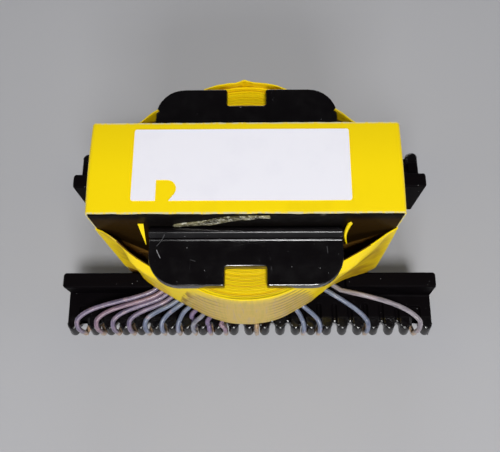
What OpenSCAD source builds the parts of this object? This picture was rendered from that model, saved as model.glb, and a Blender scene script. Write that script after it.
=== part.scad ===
// Board-mounted switching transformer: a ferrite core with a round centre leg stands on a
// moulded bobbin whose two rails carry pins and a comb of slots that guide the lead wires.
// Origin: centre of the pin field, at the pin tips. Z points up, the rails run along X.

/* [Core] */
// Width of the ferrite core across its outer legs
core_w = 39.1; // [37.5:0.1:39.6]
// Depth of the ferrite core
core_d = 12.7; // [12:0.1:13.2]
// Height of one core half, from its back to the parting plane
core_half_h = 15.95; // [14.5:0.05:18]
// Thickness of the back plate of a core half
core_back = 5.2; // [4:0.1:5.6]
// Diameter of the round centre leg
core_leg_dia = 12.8; // [12:0.1:13.2]
// Diameter of the round winding window, inside the outer legs
core_window_dia = 28.6; // [28.2:0.1:29.6]
// Radius of the rounded outer edges of a core half
core_edge_r = 0.4; // [0.3:0.1:1.5]

/* [Bobbin tube and flanges] */
// Wall of the round tube that the wire is wound on
tube_wall = 0.95; // [0.8:0.05:1.3]
// Clearance between the bobbin and the ferrite
ferrite_gap = 0.05; // [0.03:0.01:0.12]
// Width of both flanges
flange_w = 25.1; // [23.5:0.1:25.2]
// Depth of the upper flange, over both tongues
flange_d = 28.2; // [25:0.1:29]
// Corner radius of the flanges
flange_r = 4; // [2:0.1:5]
// Thickness of the upper flange inside the core
flange_t = 1.2; // [0.9:0.1:1.6]
// How far a tongue of the upper flange stands above the flange
tongue_rise = 0.55; // [0.2:0.05:0.8]
// Width of the notch in each tongue
notch_w = 5.33; // [4:0.1:7]
// Depth of the notch in each tongue
notch_d = 2.55; // [1.5:0.05:3.5]
// Radius of the notch's outer corners
notch_r = 0.3; // [0.1:0.05:0.6]
// Depth of the bead that runs along the core face on each tongue
bead_d = 1.45; // [1:0.05:1.8]
// Width of the bead's flat crest
crest_w = 0.72; // [0.4:0.02:0.9]
// Height of that bead above the tongue
bead_h = 0.95; // [0.5:0.05:1.3]
// Depth of the lower flange
lower_flange_d = 23.4; // [20:0.1:24]
// Thickness of the lower flange
lower_flange_t = 1.4; // [1:0.1:1.8]

/* [Bobbin rails] */
// Length of both rails
rail_len = 59.4; // [58.8:0.1:62]
// Clear width between the two rails
rail_gap = 14.7; // [14.2:0.1:15.2]
// Width of the upright bar of a rail
bar_w = 2.42; // [1.8:0.02:2.8]
// Height of a rail, from its foot to the ledge
rail_h = 11.6; // [10.8:0.1:13]
// How far the ledge stands above the lower flange
ledge_rise = 0.8; // [0.3:0.05:0.9]
// Distance from the middle to the inner end of each raised ledge
ledge_start = 15.4; // [14.8:0.1:17]
// Height of the comb shelf's underside above the foot
shelf_foot = 4.8; // [4.2:0.1:5.4]
// Thickness of the comb shelf
shelf_t = 2.2; // [1.8:0.1:2.6]
// Reach of the comb teeth from the middle, at the top of the shelf
comb_top_reach = 15.6; // [15.4:0.05:16]
// Reach of the comb teeth from the middle, at the underside
comb_reach = 16.45; // [16.1:0.05:17]

/* [Comb] */
// Spacing of the comb slots
slot_pitch = 2.54; // [2.5:0.01:2.56]
// Number of comb slots in each rail
slot_count = 22; // [14:2:22]
// Width of a slot between two teeth
slot_w = 0.92; // [0.88:0.02:1.1]
// Width of the wider slot at each end of the comb
end_slot_w = 1.8; // [1.5:0.05:1.9]
// Distance from the middle to the inner end of the slots
slot_root = 14.44; // [14.2:0.02:14.7]
// Depth of the shallow groove that leads over the shelf to each slot
groove_depth = 0.55; // [0.2:0.05:0.9]
// Length of that groove
groove_len = 3.4; // [1:0.1:3.8]

/* [Windings] */
// Thickness of the inner winding
inner_winding_t = 1.75; // [1.2:0.05:1.85]
// Thickness of the middle winding
middle_winding_t = 1.85; // [1.2:0.05:1.95]
// Thickness of the outer winding
outer_winding_t = 1.6; // [1.2:0.05:1.7]
// Thickness of the tape between two windings
interlayer_t = 0.2; // [0.1:0.05:0.3]
// How much deeper than wide the wound coil is, to each side
coil_bulge = 2.2; // [1.6:0.1:2.5]
// Height of the margin tape below the windings
lower_margin = 1; // [0.9:0.05:1.5]
// Height of the margin tape above the windings
upper_margin = 1; // [0.5:0.05:1.5]

/* [Tape] */
// Thickness of the tape wrapped round the finished coil
coil_tape_t = 0.25; // [0.1:0.05:0.3]
// Thickness of the belt that ties the coil to the core legs
belt_t = 0.2; // [0.1:0.05:0.3]
// How far below the top of the core the belt's upper edge lies
belt_drop = 5.4; // [5.2:0.1:8]
// Thickness of the tape over the core
core_tape_t = 0.25; // [0.1:0.05:0.35]
// Width of the tape over the core
core_tape_w = 12.4; // [11:0.1:12.4]

/* [Label] */
// Length of the label
label_w = 27.35; // [20:0.05:32]
// Depth of the label
label_d = 9.75; // [6:0.05:11]
// Thickness of the label
label_t = 0.08; // [0.05:0.01:0.15]
// Corner radius of the label
label_r = 0.3; // [0.2:0.1:1.5]
// Offset of the label from the middle of the core, along X
label_x = -0.5; // [-1.5:0.1:1.5]
// Offset of the label from the middle of the core, along Y
label_y = 0.35; // [-0.6:0.05:0.6]
// Radius of the round tip of the piece missing from the label's front edge
label_bite_r = 1.2; // [0.6:0.05:1.3]
// Distance from the label's left end to that missing piece
label_bite_x = 3.05; // [2:0.05:20]
// Depth of the missing piece from the label's front edge
label_bite_d = 2.77; // [2.7:0.01:4]
// Width of the missing piece at the label's front edge
label_bite_w = 1.66; // [1.3:0.01:2.4]
// Length of the missing piece along the label, round tip included
label_bite_len = 2.55; // [2.5:0.01:3]

/* [Pins] */
// Diameter of a pin below the wire wrap, with its coat of dipped solder
pin_dia = 0.9; // [0.6:0.05:1]
// Thickness of that coat
tin_coat = 0.03; // [0.02:0.01:0.06]
// Spacing of the pins along a rail
pin_pitch = 5.08; // [5:0.01:5.12]
// Number of pins in each rail
pin_count = 11; // [7:2:11]
// Distance between the two rows of pins
pin_row_gap = 25.4; // [25.2:0.1:26]
// How far the pins reach below the feet of the rails
pin_out = 3.7; // [2.5:0.1:5]
// Length of a pin inside the shelf
pin_grip = 1.7; // [1:0.1:1.7]
// Radius of the wire wrap and solder at the root of a used pin
solder_r = 0.95; // [0.7:0.05:1]
// Height of the wire wrap and solder
solder_h = 2.3; // [2:0.1:2.8]

/* [Leads] */
// Diameter of a sleeved lead wire
lead_dia = 0.75; // [0.6:0.01:0.78]

/* [Hidden] */
FRONT_LEADS = ["lead_f00", "lead_f01", "lead_f02", "lead_f03", "lead_f04", "lead_f05", "lead_f06",
    "lead_f07a", "lead_f07b", "lead_f08", "lead_f09", "lead_f11", "lead_f14", "lead_f15", "lead_f18",
    "lead_f21"];
REAR_LEADS = ["lead_r06", "lead_r07", "lead_r14", "lead_r15"];
$fn = 64;

// How far a cutting shape runs past what it cuts, and how far joined shapes reach into each other
past = 1;
joint = 0.5;

// Small clearances: belt to coil, tongue to core, margin tape to flange edge, belt to flange
belt_gap = 0.02;
tongue_gap = 0.2;
margin_gap = 0.3;
flange_gap = 0.1;

// Clearances of a lead to the coil, the mouth of its slot, the slot's root, the shelf and the wire wrap
coil_clear = 0.15;
mouth_clear = 0.08;
root_clear = 0.12;
shelf_clear = 0.22;
wrap_clear = 0.1;

// How much narrower a groove is than its slot, to each side
groove_inset = 0.1;

// Small chamfers on the bead, taper of a pin's tip, radius of the wire on a pin
bead_front = 0.15;
bead_back = 0.12;
bead_foot = 0.1;
pin_tip_h = 0.4;
pin_tip_share = 0.55;
wrap_r = 0.14;
wrap_turn_share = 0.26;

// Edge of the dried varnish on the core's front face, from the top edge down
varnish_t = 0.22;
varnish_edge = [[-9.4, -3.5], [-8.5, -3], [-6.4, -2.35], [-4.3, -1.35], [-2.5, -0.4], [-0.6, -0.15],
    [3, -0.1], [3.2, -0.4], [1.5, -0.7], [-2, -1.8], [-4.3, -3.1], [-6.4, -3.6], [-9.2, -3.7]];

// Heights, from the pin tips up
foot_z = pin_out;
shelf_low_z = foot_z + shelf_foot;
shelf_top_z = shelf_low_z + shelf_t;
ledge_z = foot_z + rail_h;
lower_flange_z = ledge_z - ledge_rise;
window_low_z = lower_flange_z - lower_flange_t - ferrite_gap;
leg_h = core_half_h - core_back;
parting_z = window_low_z + leg_h;
window_top_z = parting_z + leg_h;
core_top_z = window_top_z + core_back;
upper_flange_z = window_top_z - ferrite_gap;
coil_low_z = lower_flange_z + lower_margin;
coil_top_z = upper_flange_z - flange_t;
winding_top_z = coil_top_z - upper_margin;
tongue_z = upper_flange_z + tongue_rise;
belt_top_z = core_top_z - belt_drop;

// Plan sizes
tube_in_r = core_leg_dia / 2 + ferrite_gap;
tube_out_r = tube_in_r + tube_wall;
inner_r = tube_out_r + inner_winding_t;
middle_start_r = inner_r + interlayer_t;
middle_r = middle_start_r + middle_winding_t;
outer_start_r = middle_r + interlayer_t;
outer_r = outer_start_r + outer_winding_t;
coil_r = outer_r + coil_tape_t;
bar_in = rail_gap / 2;
bar_out = bar_in + bar_w;
margin_r = min(lower_flange_d, flange_w) / 2 - margin_gap;
bare_pin_dia = pin_dia - 2 * tin_coat;
tin_top_z = shelf_low_z - solder_h;
slab_reach = slot_root + slot_w / 2;
tooth_w = slot_pitch - slot_w;
tooth_tilt = atan((comb_reach - comb_top_reach) / shelf_t);
lead_r = lead_dia / 2;
pin_row_y = pin_row_gap / 2;
label_z = core_top_z + core_tape_t;

// Each front lead: slot number, angle at which it leaves the winding, place where it comes out
// from under the belt, its height there above the lowest level that the flange allows, the height
// of its bend above the comb, how much it bows upward before the bend, how far it lies behind the
// other leads in the slot, and how far below the shelf it turns in to its pin
front_leads = [
    [0, 57, [-15.2, -10.3], 0, 4.1, 0, 0, 0],
    [1, 52.5, [-14.55, -10.95], 0, 3.75, 0, 0, 0],
    [2, 48, [-13.8, -11.25], -0.5, 3.4, 0, 0, 0],
    [3, 43.5, [-13.05, -11.8], -0.6, 3.2, 0, 0, 0],
    [4, 39.2, [-12, -12.35], 0, 3.1, 0, 0, 0],
    [5, 35.2, [-10.9, -12.6], 0, 2.5, 0, 0, 0],
    [6, 31, [-9.8, -13.3], 0, 2, 0, 0, 0],
    [7, 26.5, [-8.8, -13.9], 0, 1, 0, 0.83, 0],
    [7, 22, [-7.5, -14.5], 0, 2.4, 0, 0, 0.82],
    [8, 17.5, [-6.4, -15], 0, 1.9, 0, 0, 0],
    [9, 12, [-4.3, -15.6], 0, 1.7, 0, 0, 0],
    [11, -4, [1.27, -15.7], 0, 1.6, 0, 0, 0],
    [14, -27, [7.4, -13.2], 0, 1.9, 0, 0, 0],
    [15, -32, [8.3, -12.5], 0, 1.9, 0, 0, 0],
    [18, -46, [12.9, -10.6], 0, 2.4, 0, 0, 0],
    [21, -54, [14.6, -10.2], 0, 3.1, 3.5, 0, 0]];
rear_leads = [
    [6, 31, [-9.8, -13.3], 0, 2, 0, 0, 0],
    [7, 25, [-8.3, -14.1], 0, 1.9, 0, 0, 0],
    [14, -25, [8.3, -14.1], 0, 1.9, 0, 0, 0],
    [15, -31, [9.8, -13.3], 0, 2, 0, 0, 0]];

// The last slot at each end of the comb is wider, and its outer side lies further out
function slot_x(k) = (k - (slot_count - 1) / 2) * slot_pitch
    + (k == 0 ? -1 : k == slot_count - 1 ? 1 : 0) * (end_slot_w - slot_w) / 2;
function slot_width(k) = k == 0 || k == slot_count - 1 ? end_slot_w : slot_w;
function pin_x(j) = (j - (pin_count - 1) / 2) * pin_pitch;
function slot_pin(k) = floor(k / 2) - (slot_count / 2 - pin_count) / 2;

// Outline of a rectangle with round corners
function round_rect(w, d, r, n = 8) = [for (c = [0 : 3], i = [0 : n])
    let (a = 90 * (c + i / n), sx = c == 0 || c == 3 ? 1 : -1, sy = c < 2 ? 1 : -1)
    [sx * (w / 2 - r) + r * cos(a), sy * (d / 2 - r) + r * sin(a)]];

// Outline of a coil: two half circles, moved apart by the bulge
function coil_outline(r, bulge, n = 40) = concat(
    [for (i = [0 : n]) [r * cos(180 * i / n), bulge + r * sin(180 * i / n)]],
    [for (i = [0 : n]) [-r * cos(180 * i / n), -bulge - r * sin(180 * i / n)]]);

// Outline of the belt: straight from the corners of the core legs to the round coil, front and rear
function belt_outline(r, half_w, half_d) =
    let (dx = half_w, dy = half_d - coil_bulge, reach = norm([dx, dy]),
        a = atan2(dy, dx) + acos(r / reach))
    concat([[half_w, -half_d], [half_w, half_d]],
        [for (i = [0 : 24]) let (t = a + (180 - 2 * a) * i / 24)
            [r * cos(t), coil_bulge + r * sin(t)]],
        [[-half_w, half_d], [-half_w, -half_d]],
        [for (i = [0 : 24]) let (t = 180 + a + (180 - 2 * a) * i / 24)
            [r * cos(t), -coil_bulge + r * sin(t)]]);

// A core half, standing on its back: a bar with rounded lower edges and a ring-shaped window
module core_half() {
    difference() {
        rotate([90, 0, 0])
            translate([0, 0, -core_d / 2])
            linear_extrude(core_d)
            polygon(concat(
                [[core_w / 2, core_half_h], [-core_w / 2, core_half_h]],
                [for (i = [0 : 6]) let (a = 180 + 15 * i)
                    [-core_w / 2 + core_edge_r * (1 + cos(a)), core_edge_r * (1 + sin(a))]],
                [for (i = [0 : 6]) let (a = 270 + 15 * i)
                    [core_w / 2 - core_edge_r * (1 - cos(a)), core_edge_r * (1 + sin(a))]]));
        translate([0, 0, core_back])
            difference() {
                cylinder(h = core_half_h, d = core_window_dia);
                translate([0, 0, -past])
                    cylinder(h = core_half_h + 2 * past, d = core_leg_dia);
            }
    }
}

module core_lower() {
    color("#2b2b2e")
        translate([0, 0, window_low_z - core_back])
        core_half();
}

module core_upper() {
    color("#2b2b2e")
        translate([0, 0, core_top_z])
        rotate([180, 0, 0])
        core_half();
}

// Section of a rail, drawn with Y as the distance from the middle: an upright bar and its shelf
function rail_section() = [
    [bar_in, foot_z], [bar_in, lower_flange_z], [bar_out, lower_flange_z], [bar_out, shelf_top_z],
    [slab_reach, shelf_top_z], [slab_reach, shelf_low_z], [bar_out, shelf_low_z], [bar_out, foot_z]];

module along_x(length) {
    translate([-length / 2, 0, 0])
        rotate([90, 0, 90])
        linear_extrude(length)
        children();
}

// Inner end of a comb slot, round, with a shallow groove leading to it over the shelf
module slot_end(k) {
    w = slot_width(k);
    translate([slot_x(k), slot_root + w / 2, 0]) {
        translate([0, 0, shelf_low_z - past])
            cylinder(h = shelf_t + 2 * past, d = w);
        translate([-w / 2, 0, shelf_low_z - past])
            cube([w, comb_reach - slot_root, shelf_t + 2 * past]);
        translate([-w / 2 + groove_inset, -groove_len, shelf_top_z - groove_depth])
            cube([w - 2 * groove_inset, groove_len, groove_depth + past]);
    }
}

// A comb tooth with a round tip, sloping outward to its lower end
module tooth(x, w) {
    intersection() {
        translate([x, comb_top_reach, shelf_top_z])
            rotate([tooth_tilt, 0, 0])
            translate([0, 0, -2 * shelf_t])
            linear_extrude(3 * shelf_t) {
                translate([-w / 2, -shelf_t - w / 2])
                    square([w, shelf_t]);
                translate([0, -w / 2])
                    circle(d = w);
            }
        translate([x - w, slab_reach - 0.4, shelf_low_z])
            cube([w * 2, comb_reach, shelf_t]);
    }
}

module comb() {
    for (j = [0 : slot_count - 2])
        tooth((j - (slot_count - 2) / 2) * slot_pitch, tooth_w);
    post_in = slot_x(slot_count - 1) + end_slot_w / 2;
    for (side = [-1, 1])
        tooth(side * (post_in + rail_len / 2) / 2, rail_len / 2 - post_in);
}

module rail() {
    difference() {
        union() {
            along_x(rail_len)
                polygon(rail_section());
            comb();
            for (side = [-1, 1])
                translate([side > 0 ? ledge_start : -rail_len / 2, bar_in, lower_flange_z - joint])
                cube([rail_len / 2 - ledge_start, bar_w, ledge_rise + joint]);
        }
        for (k = [0 : slot_count - 1])
            slot_end(k);
        for (j = [0 : pin_count - 1])
            translate([pin_x(j), pin_row_y, shelf_low_z - past])
            cylinder(h = pin_grip + past, d = bare_pin_dia);
    }
}

// Half of the notch in the flange's edge, with its outer corner rounded
function notch_side(side) = concat([[side * notch_w / 2, flange_d / 2 - notch_d]],
    [for (i = [0 : 4]) let (a = 90 * i / 4)
        [side * (notch_w / 2 + notch_r - notch_r * cos(a)), flange_d / 2 - notch_r + notch_r * sin(a)]],
    [[side * (notch_w / 2 + notch_r), flange_d / 2 + past]]);
function reversed(points) = [for (i = [len(points) - 1 : -1 : 0]) points[i]];
function notch_outline() = concat(notch_side(-1), reversed(notch_side(1)));

// One tongue of the upper flange, notched for the tape, with a bead along the core face that
// slopes down to the tongue
module tongue() {
    start = core_d / 2 + tongue_gap;
    crest_z = tongue_z + bead_h;
    sunk_z = tongue_z - bead_front;
    front_y = start + bead_d;
    difference() {
        intersection() {
            translate([0, 0, coil_top_z])
                linear_extrude(flange_t + tongue_rise)
                polygon(round_rect(flange_w, flange_d, flange_r));
            translate([-flange_w, start, coil_top_z - past])
                cube([flange_w * 2, flange_d, flange_t + tongue_rise + 2 * past]);
        }
        translate([0, 0, coil_top_z - past])
            linear_extrude(flange_t + tongue_rise + 2 * past)
            polygon(notch_outline());
    }
    along_x(flange_w)
        polygon([[start, sunk_z], [start, crest_z - bead_front], [start + bead_front, crest_z],
            [start + crest_w, crest_z], [start + crest_w + bead_back, crest_z - bead_back / 2],
            [front_y, tongue_z + bead_foot], [front_y, sunk_z]]);
}

module bobbin() {
    color("#151416")
        difference() {
            union() {
                translate([0, 0, lower_flange_z - lower_flange_t])
                    cylinder(h = upper_flange_z - lower_flange_z + lower_flange_t, r = tube_out_r);
                translate([0, 0, coil_top_z])
                    linear_extrude(flange_t)
                    polygon(round_rect(flange_w, core_d + 2, 0.4));
                translate([0, 0, lower_flange_z - lower_flange_t])
                    linear_extrude(lower_flange_t)
                    polygon(round_rect(flange_w, lower_flange_d, flange_r));
                for (turn = [0, 180])
                    rotate([0, 0, turn]) {
                        tongue();
                        rail();
                    }
            }
            translate([0, 0, lower_flange_z - lower_flange_t - past])
                cylinder(h = upper_flange_z, r = tube_in_r);
        }
}

// A closed layer of the coil between two outlines
module layer(outer_radius, outer_bulge, inner_radius, inner_bulge, low_z, top_z) {
    translate([0, 0, low_z])
        linear_extrude(top_z - low_z)
        difference() {
            polygon(coil_outline(outer_radius, outer_bulge));
            polygon(coil_outline(inner_radius, inner_bulge));
        }
}

module winding_inner() {
    color("#b5662f")
        translate([0, 0, coil_low_z])
        difference() {
            linear_extrude(winding_top_z - coil_low_z)
                polygon(coil_outline(inner_r, coil_bulge / 3));
            translate([0, 0, -past])
                cylinder(h = winding_top_z, r = tube_out_r);
        }
}

module interlayer_tape_inner() {
    color("#f2d51c")
        layer(middle_start_r, coil_bulge / 3, inner_r, coil_bulge / 3, coil_low_z, winding_top_z);
}

module winding_middle() {
    color("#c27a3a")
        layer(middle_r, coil_bulge * 2 / 3, middle_start_r, coil_bulge / 3, coil_low_z, winding_top_z);
}

module interlayer_tape_outer() {
    color("#f2d51c")
        layer(outer_start_r, coil_bulge * 2 / 3, middle_r, coil_bulge * 2 / 3, coil_low_z, winding_top_z);
}

module winding_outer() {
    color("#b5662f")
        layer(outer_r, coil_bulge, outer_start_r, coil_bulge * 2 / 3, coil_low_z, winding_top_z);
}

module margin_tape_lower() {
    color("#efe6b0")
        translate([0, 0, lower_flange_z])
        difference() {
            cylinder(h = lower_margin, r = margin_r);
            translate([0, 0, -past])
                cylinder(h = lower_margin + 2 * past, r = tube_out_r);
        }
}

module margin_tape_upper() {
    color("#efe6b0")
        translate([0, 0, winding_top_z])
        difference() {
            linear_extrude(upper_margin)
                polygon(coil_outline(outer_r, coil_bulge));
            translate([0, 0, -past])
                cylinder(h = upper_margin + 2 * past, r = tube_out_r);
        }
}

module coil_tape() {
    color("#f7d917")
        layer(coil_r, coil_bulge, outer_r, coil_bulge, coil_low_z, coil_top_z);
}

// The belt is cut away under the upper flange, and stands higher all round it
module belt_tape() {
    half_w = core_w / 2 + core_tape_t;
    half_d = core_d / 2;
    color("#f5d90f")
        difference() {
            translate([0, 0, coil_low_z])
                linear_extrude(belt_top_z - coil_low_z)
                difference() {
                    polygon(belt_outline(coil_r + belt_gap + belt_t, half_w + belt_t, half_d + belt_t));
                    polygon(belt_outline(coil_r + belt_gap, half_w, half_d));
                }
            translate([0, 0, coil_top_z])
                linear_extrude(belt_drop * 2)
                polygon(round_rect(flange_w + 2 * flange_gap, flange_d + 2 * flange_gap,
                    flange_r + flange_gap));
        }
}

// The tape over the core: a closed loop round its top, sides and underside
module core_tape() {
    w = core_w + 2 * core_tape_t;
    h = core_top_z + core_tape_t - (window_low_z - core_back - core_tape_t);
    color("#f6dd0a")
        translate([0, core_tape_w / 2, (core_top_z + window_low_z - core_back) / 2])
        rotate([90, 0, 0])
        linear_extrude(core_tape_w)
        difference() {
            polygon(round_rect(w, h, core_edge_r + core_tape_t, 6));
            polygon(round_rect(core_w, h - 2 * core_tape_t, core_edge_r, 6));
        }
}

// The label, with a tongue-shaped piece missing from its front edge
module label() {
    edge_y = -label_d / 2;
    left_x = -label_w / 2 + label_bite_x;
    middle = [left_x + label_bite_len - label_bite_r, edge_y + label_bite_d - label_bite_r];
    color("#f1eff5")
        translate([label_x, label_y, label_z])
        linear_extrude(label_t)
        difference() {
            polygon(round_rect(label_w, label_d, label_r, 4));
            translate(middle)
                circle(r = label_bite_r);
            polygon([[left_x, edge_y - past], [left_x, middle[1] + label_bite_r],
                [middle[0], middle[1] + label_bite_r], middle + label_bite_r * [cos(-30), sin(-30)],
                [left_x + label_bite_w, edge_y], [left_x + label_bite_w, edge_y - past]]);
        }
}

// A run of dried varnish down the front face of the upper core half
module varnish_run() {
    color("#8c7c3c")
        translate([0, -core_d / 2, core_top_z])
        rotate([90, 0, 0])
        linear_extrude(varnish_t)
        polygon(varnish_edge);
}

// Pins dipped in solder up to the foot of the wire wraps
module pin_row(side) {
    for (j = [0 : pin_count - 1])
        translate([pin_x(j), side * pin_row_y, 0]) {
            translate([0, 0, tin_top_z])
                cylinder(h = shelf_low_z + pin_grip - tin_top_z, d = bare_pin_dia);
            translate([0, 0, pin_tip_h])
                cylinder(h = tin_top_z - pin_tip_h, d = pin_dia);
            cylinder(h = pin_tip_h, d1 = pin_dia * pin_tip_share, d2 = pin_dia);
        }
}

module pins_front() {
    color("#c9ccd0") pin_row(-1);
}

module pins_rear() {
    color("#c9ccd0") pin_row(1);
}

// Three turns of wire round the root of a pin, run in with solder
module solder_joint() {
    turn_h = solder_h * wrap_turn_share;
    rotate_extrude()
        polygon(concat([[bare_pin_dia / 2, 0]],
            [for (turn = [0 : 2], i = [0 : 4]) let (a = 90 - 45 * i)
                [solder_r - wrap_r * (1 - cos(a)), -turn_h * (turn + 0.5) + turn_h / 2 * sin(a)]],
            [[pin_dia / 2, -solder_h], [bare_pin_dia / 2, -solder_h]]));
}

function used_pins(rows) = [for (j = [0 : pin_count - 1])
    if (len([for (row = rows) if (slot_pin(row[0]) == j) 1]) > 0) j];

module solder_front() {
    color("#b9bcc0")
        for (j = used_pins(front_leads))
            translate([pin_x(j), -pin_row_y, shelf_low_z])
            solder_joint();
}

module solder_rear() {
    color("#b9bcc0")
        for (j = used_pins(rear_leads))
            translate([pin_x(j), pin_row_y, shelf_low_z])
            solder_joint();
}

// A point on a cubic curve with two inner control points
function bezier(a, b, c, d, t) =
    a * pow(1 - t, 3) + b * 3 * t * pow(1 - t, 2) + c * 3 * t * t * (1 - t) + d * pow(t, 3);

function unit(v) = v / norm(v);

// Centre line of a lead: from the winding, out under the belt, over the comb in an arch, down the
// mouth of its slot and in under the shelf to its pin
function lead_path(row) =
    let (
        k = row[0], exit = row[2], bend_h = row[4], bow = row[5], inset = row[6], drop = row[7],
        start_r = margin_r + coil_clear,
        start_z = lower_flange_z + lower_margin / 2,
        start = [-start_r * sin(row[1]), -start_r * cos(row[1]), start_z],
        out = [exit[0], exit[1], start_z + row[3]],
        x = slot_x(k),
        hang_y = -(comb_reach - lead_r - mouth_clear - inset),
        root_y = -(slot_root + lead_r + root_clear),
        reach = norm([x - out[0], hang_y - out[1]]),
        side = abs(x - out[0]) > 0.3 ? sign(x - out[0]) : 0,
        bend = [x - side * min(0.3, reach * 0.1), hang_y + min(1.35, (out[1] - hang_y) * 0.6),
            shelf_top_z + bend_h],
        top = [x, hang_y, bend[2] - min(2.4, bend_h - 0.1)],
        low = [x, hang_y, shelf_low_z - 0.1],
        run = out - start,
        toward = unit([bend[0] - out[0], bend[1] - out[1], 0]),
        leave = unit(unit([run[0], run[1], 0]) * 0.5 + toward),
        turn = unit(toward + [0, -0.75, -0.25]),
        span = norm(bend - out),
        ease = min(0.7, (bend[1] - hang_y) * 0.8),
        turn_z = shelf_low_z - lead_r - shelf_clear - drop,
        pin = [pin_x(slot_pin(k)), -pin_row_y, turn_z],
        to_pin = unit([x - pin[0], root_y - pin[1], 0]))
    concat(
        [start, [start[0] + run[0] * 0.7, start[1] + run[1] * 0.7, start_z]],
        [for (i = [0 : 7])
            bezier(out, out + leave * span * 0.33 + [0, 0, bow], bend - turn * span * 0.25, bend, i / 7)],
        [for (i = [1 : 4])
            bezier(bend, bend + turn * ease, top + [0, 0, 1.1], top, i / 4)],
        [for (i = [0 : 5]) bezier(low, low - [0, 0, 0.6 + drop], [x, root_y - 0.1, turn_z],
            pin + to_pin * (solder_r + wrap_clear), i / 5)]);

// Rings carried along a path without twist
function tangents(path) = [for (i = [0 : len(path) - 1])
    unit(path[min(i + 1, len(path) - 1)] - path[max(i - 1, 0)])];
function carried(tans, normal = [0, 0, 1], i = 0) = i == len(tans) ? [] :
    let (level = unit(normal - tans[i] * (normal * tans[i])))
    concat([level], carried(tans, level, i + 1));

module tube_along(path, r, sides = 8) {
    tans = tangents(path);
    norms = carried(tans);
    count = len(path);
    points = [for (i = [0 : count - 1], s = [0 : sides - 1])
        let (a = 360 * s / sides, other = cross(tans[i], norms[i]))
        path[i] + (norms[i] * cos(a) + other * sin(a)) * r];
    skin = [for (i = [0 : count - 2], s = [0 : sides - 1])
        let (n = (s + 1) % sides)
        [i * sides + s, (i + 1) * sides + s, (i + 1) * sides + n, i * sides + n]];
    polyhedron(points, concat([[for (s = [0 : sides - 1]) s]], skin,
        [[for (s = [0 : sides - 1]) count * sides - 1 - s]]));
}

module lead(row) {
    color("#c3bdcf")
        tube_along(lead_path(row), lead_r);
}

bobbin();
core_upper();
core_lower();
winding_inner();
winding_middle();
winding_outer();
interlayer_tape_inner();
interlayer_tape_outer();
margin_tape_lower();
margin_tape_upper();
coil_tape();
belt_tape();
core_tape();
label();
varnish_run();
pins_front();
pins_rear();
solder_front();
solder_rear();
for (i = [0 : len(FRONT_LEADS) - 1])
    lead(front_leads[i]);
for (i = [0 : len(REAR_LEADS) - 1])
    rotate([0, 0, 180]) lead(rear_leads[i]);
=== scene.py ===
"""A taped switching transformer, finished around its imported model: moulding, core, tapes, leads and stage."""

import math
from contextlib import contextmanager
from itertools import accumulate, pairwise

import bpy
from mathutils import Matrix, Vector, kdtree, noise


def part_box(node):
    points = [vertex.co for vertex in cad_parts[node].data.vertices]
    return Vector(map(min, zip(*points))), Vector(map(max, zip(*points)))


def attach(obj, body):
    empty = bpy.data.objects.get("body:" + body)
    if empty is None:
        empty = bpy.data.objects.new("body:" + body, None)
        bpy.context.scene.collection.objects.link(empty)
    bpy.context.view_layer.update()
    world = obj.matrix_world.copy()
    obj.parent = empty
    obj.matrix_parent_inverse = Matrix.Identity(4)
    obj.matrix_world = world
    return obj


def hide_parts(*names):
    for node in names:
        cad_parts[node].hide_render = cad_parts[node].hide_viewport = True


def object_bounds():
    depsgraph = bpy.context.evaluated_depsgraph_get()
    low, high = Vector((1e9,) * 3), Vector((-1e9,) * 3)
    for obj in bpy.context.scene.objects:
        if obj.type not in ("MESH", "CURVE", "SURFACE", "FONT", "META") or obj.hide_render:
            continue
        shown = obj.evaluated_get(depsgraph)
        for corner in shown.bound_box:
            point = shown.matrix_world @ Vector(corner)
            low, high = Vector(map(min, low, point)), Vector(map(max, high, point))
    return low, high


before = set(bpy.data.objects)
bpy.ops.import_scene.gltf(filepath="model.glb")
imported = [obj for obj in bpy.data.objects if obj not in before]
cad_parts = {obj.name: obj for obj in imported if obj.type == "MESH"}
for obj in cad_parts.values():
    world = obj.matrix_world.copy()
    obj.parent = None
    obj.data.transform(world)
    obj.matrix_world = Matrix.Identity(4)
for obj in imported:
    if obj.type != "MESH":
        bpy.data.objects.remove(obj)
CAD_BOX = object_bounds()

bl_info = {
    "name": "Switching Transformer",
    "version": (1, 0, 0),
    "blender": (4, 5, 0),
    "location": "View3D > Sidebar > Transformer",
    "description": "Finishes a board-mounted transformer around its packed model",
    "category": "Object",
}

MM = 0.001

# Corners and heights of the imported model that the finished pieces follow, in metres
CORE_LOW, CORE_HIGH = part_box("core_tape")
COIL_LOW, COIL_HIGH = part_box("coil_tape")
BELT_LOW, BELT_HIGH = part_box("belt_tape")
MARGIN_LOW, MARGIN_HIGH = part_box("margin_tape_upper")
BOBBIN_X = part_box("bobbin")[1].x
SHELF_LOW_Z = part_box("solder_front")[1].z
FLOOR_Z = CAD_BOX[0][2]
# Thickness of the comb's shelf, inner end of the teeth's rounded tips, outer face of a rail's bar
SHELF_T = 2.2 * MM
TIP_Y = 14.92 * MM
BAR_OUT = 9.77 * MM
# Upper flange: level of its underside, half its width and depth, radius of its corners
FLANGE_Z = COIL_HIGH.z
FLANGE_X = 12.55 * MM
FLANGE_Y = 14.1 * MM
FLANGE_R = 4 * MM
# Outer legs of the core: outer face and half their depth
LEG_X = CORE_HIGH.x
LEG_Y = 6.35 * MM
# How far the coil's half circles are moved apart, and the radius of its innermost turn of margin tape
COIL_BULGE = COIL_HIGH.y - COIL_HIGH.x
INNER_TURN_R = 8.2 * MM
# Places closer together than this count as one
NEAR = 0.01 * MM
# Straight pieces in a quarter turn of the core tape, in an arc of the belt and in half a turn of the coil
CORNER_STEPS, BELT_STEPS, COIL_STEPS = 8, 48, 60
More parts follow.
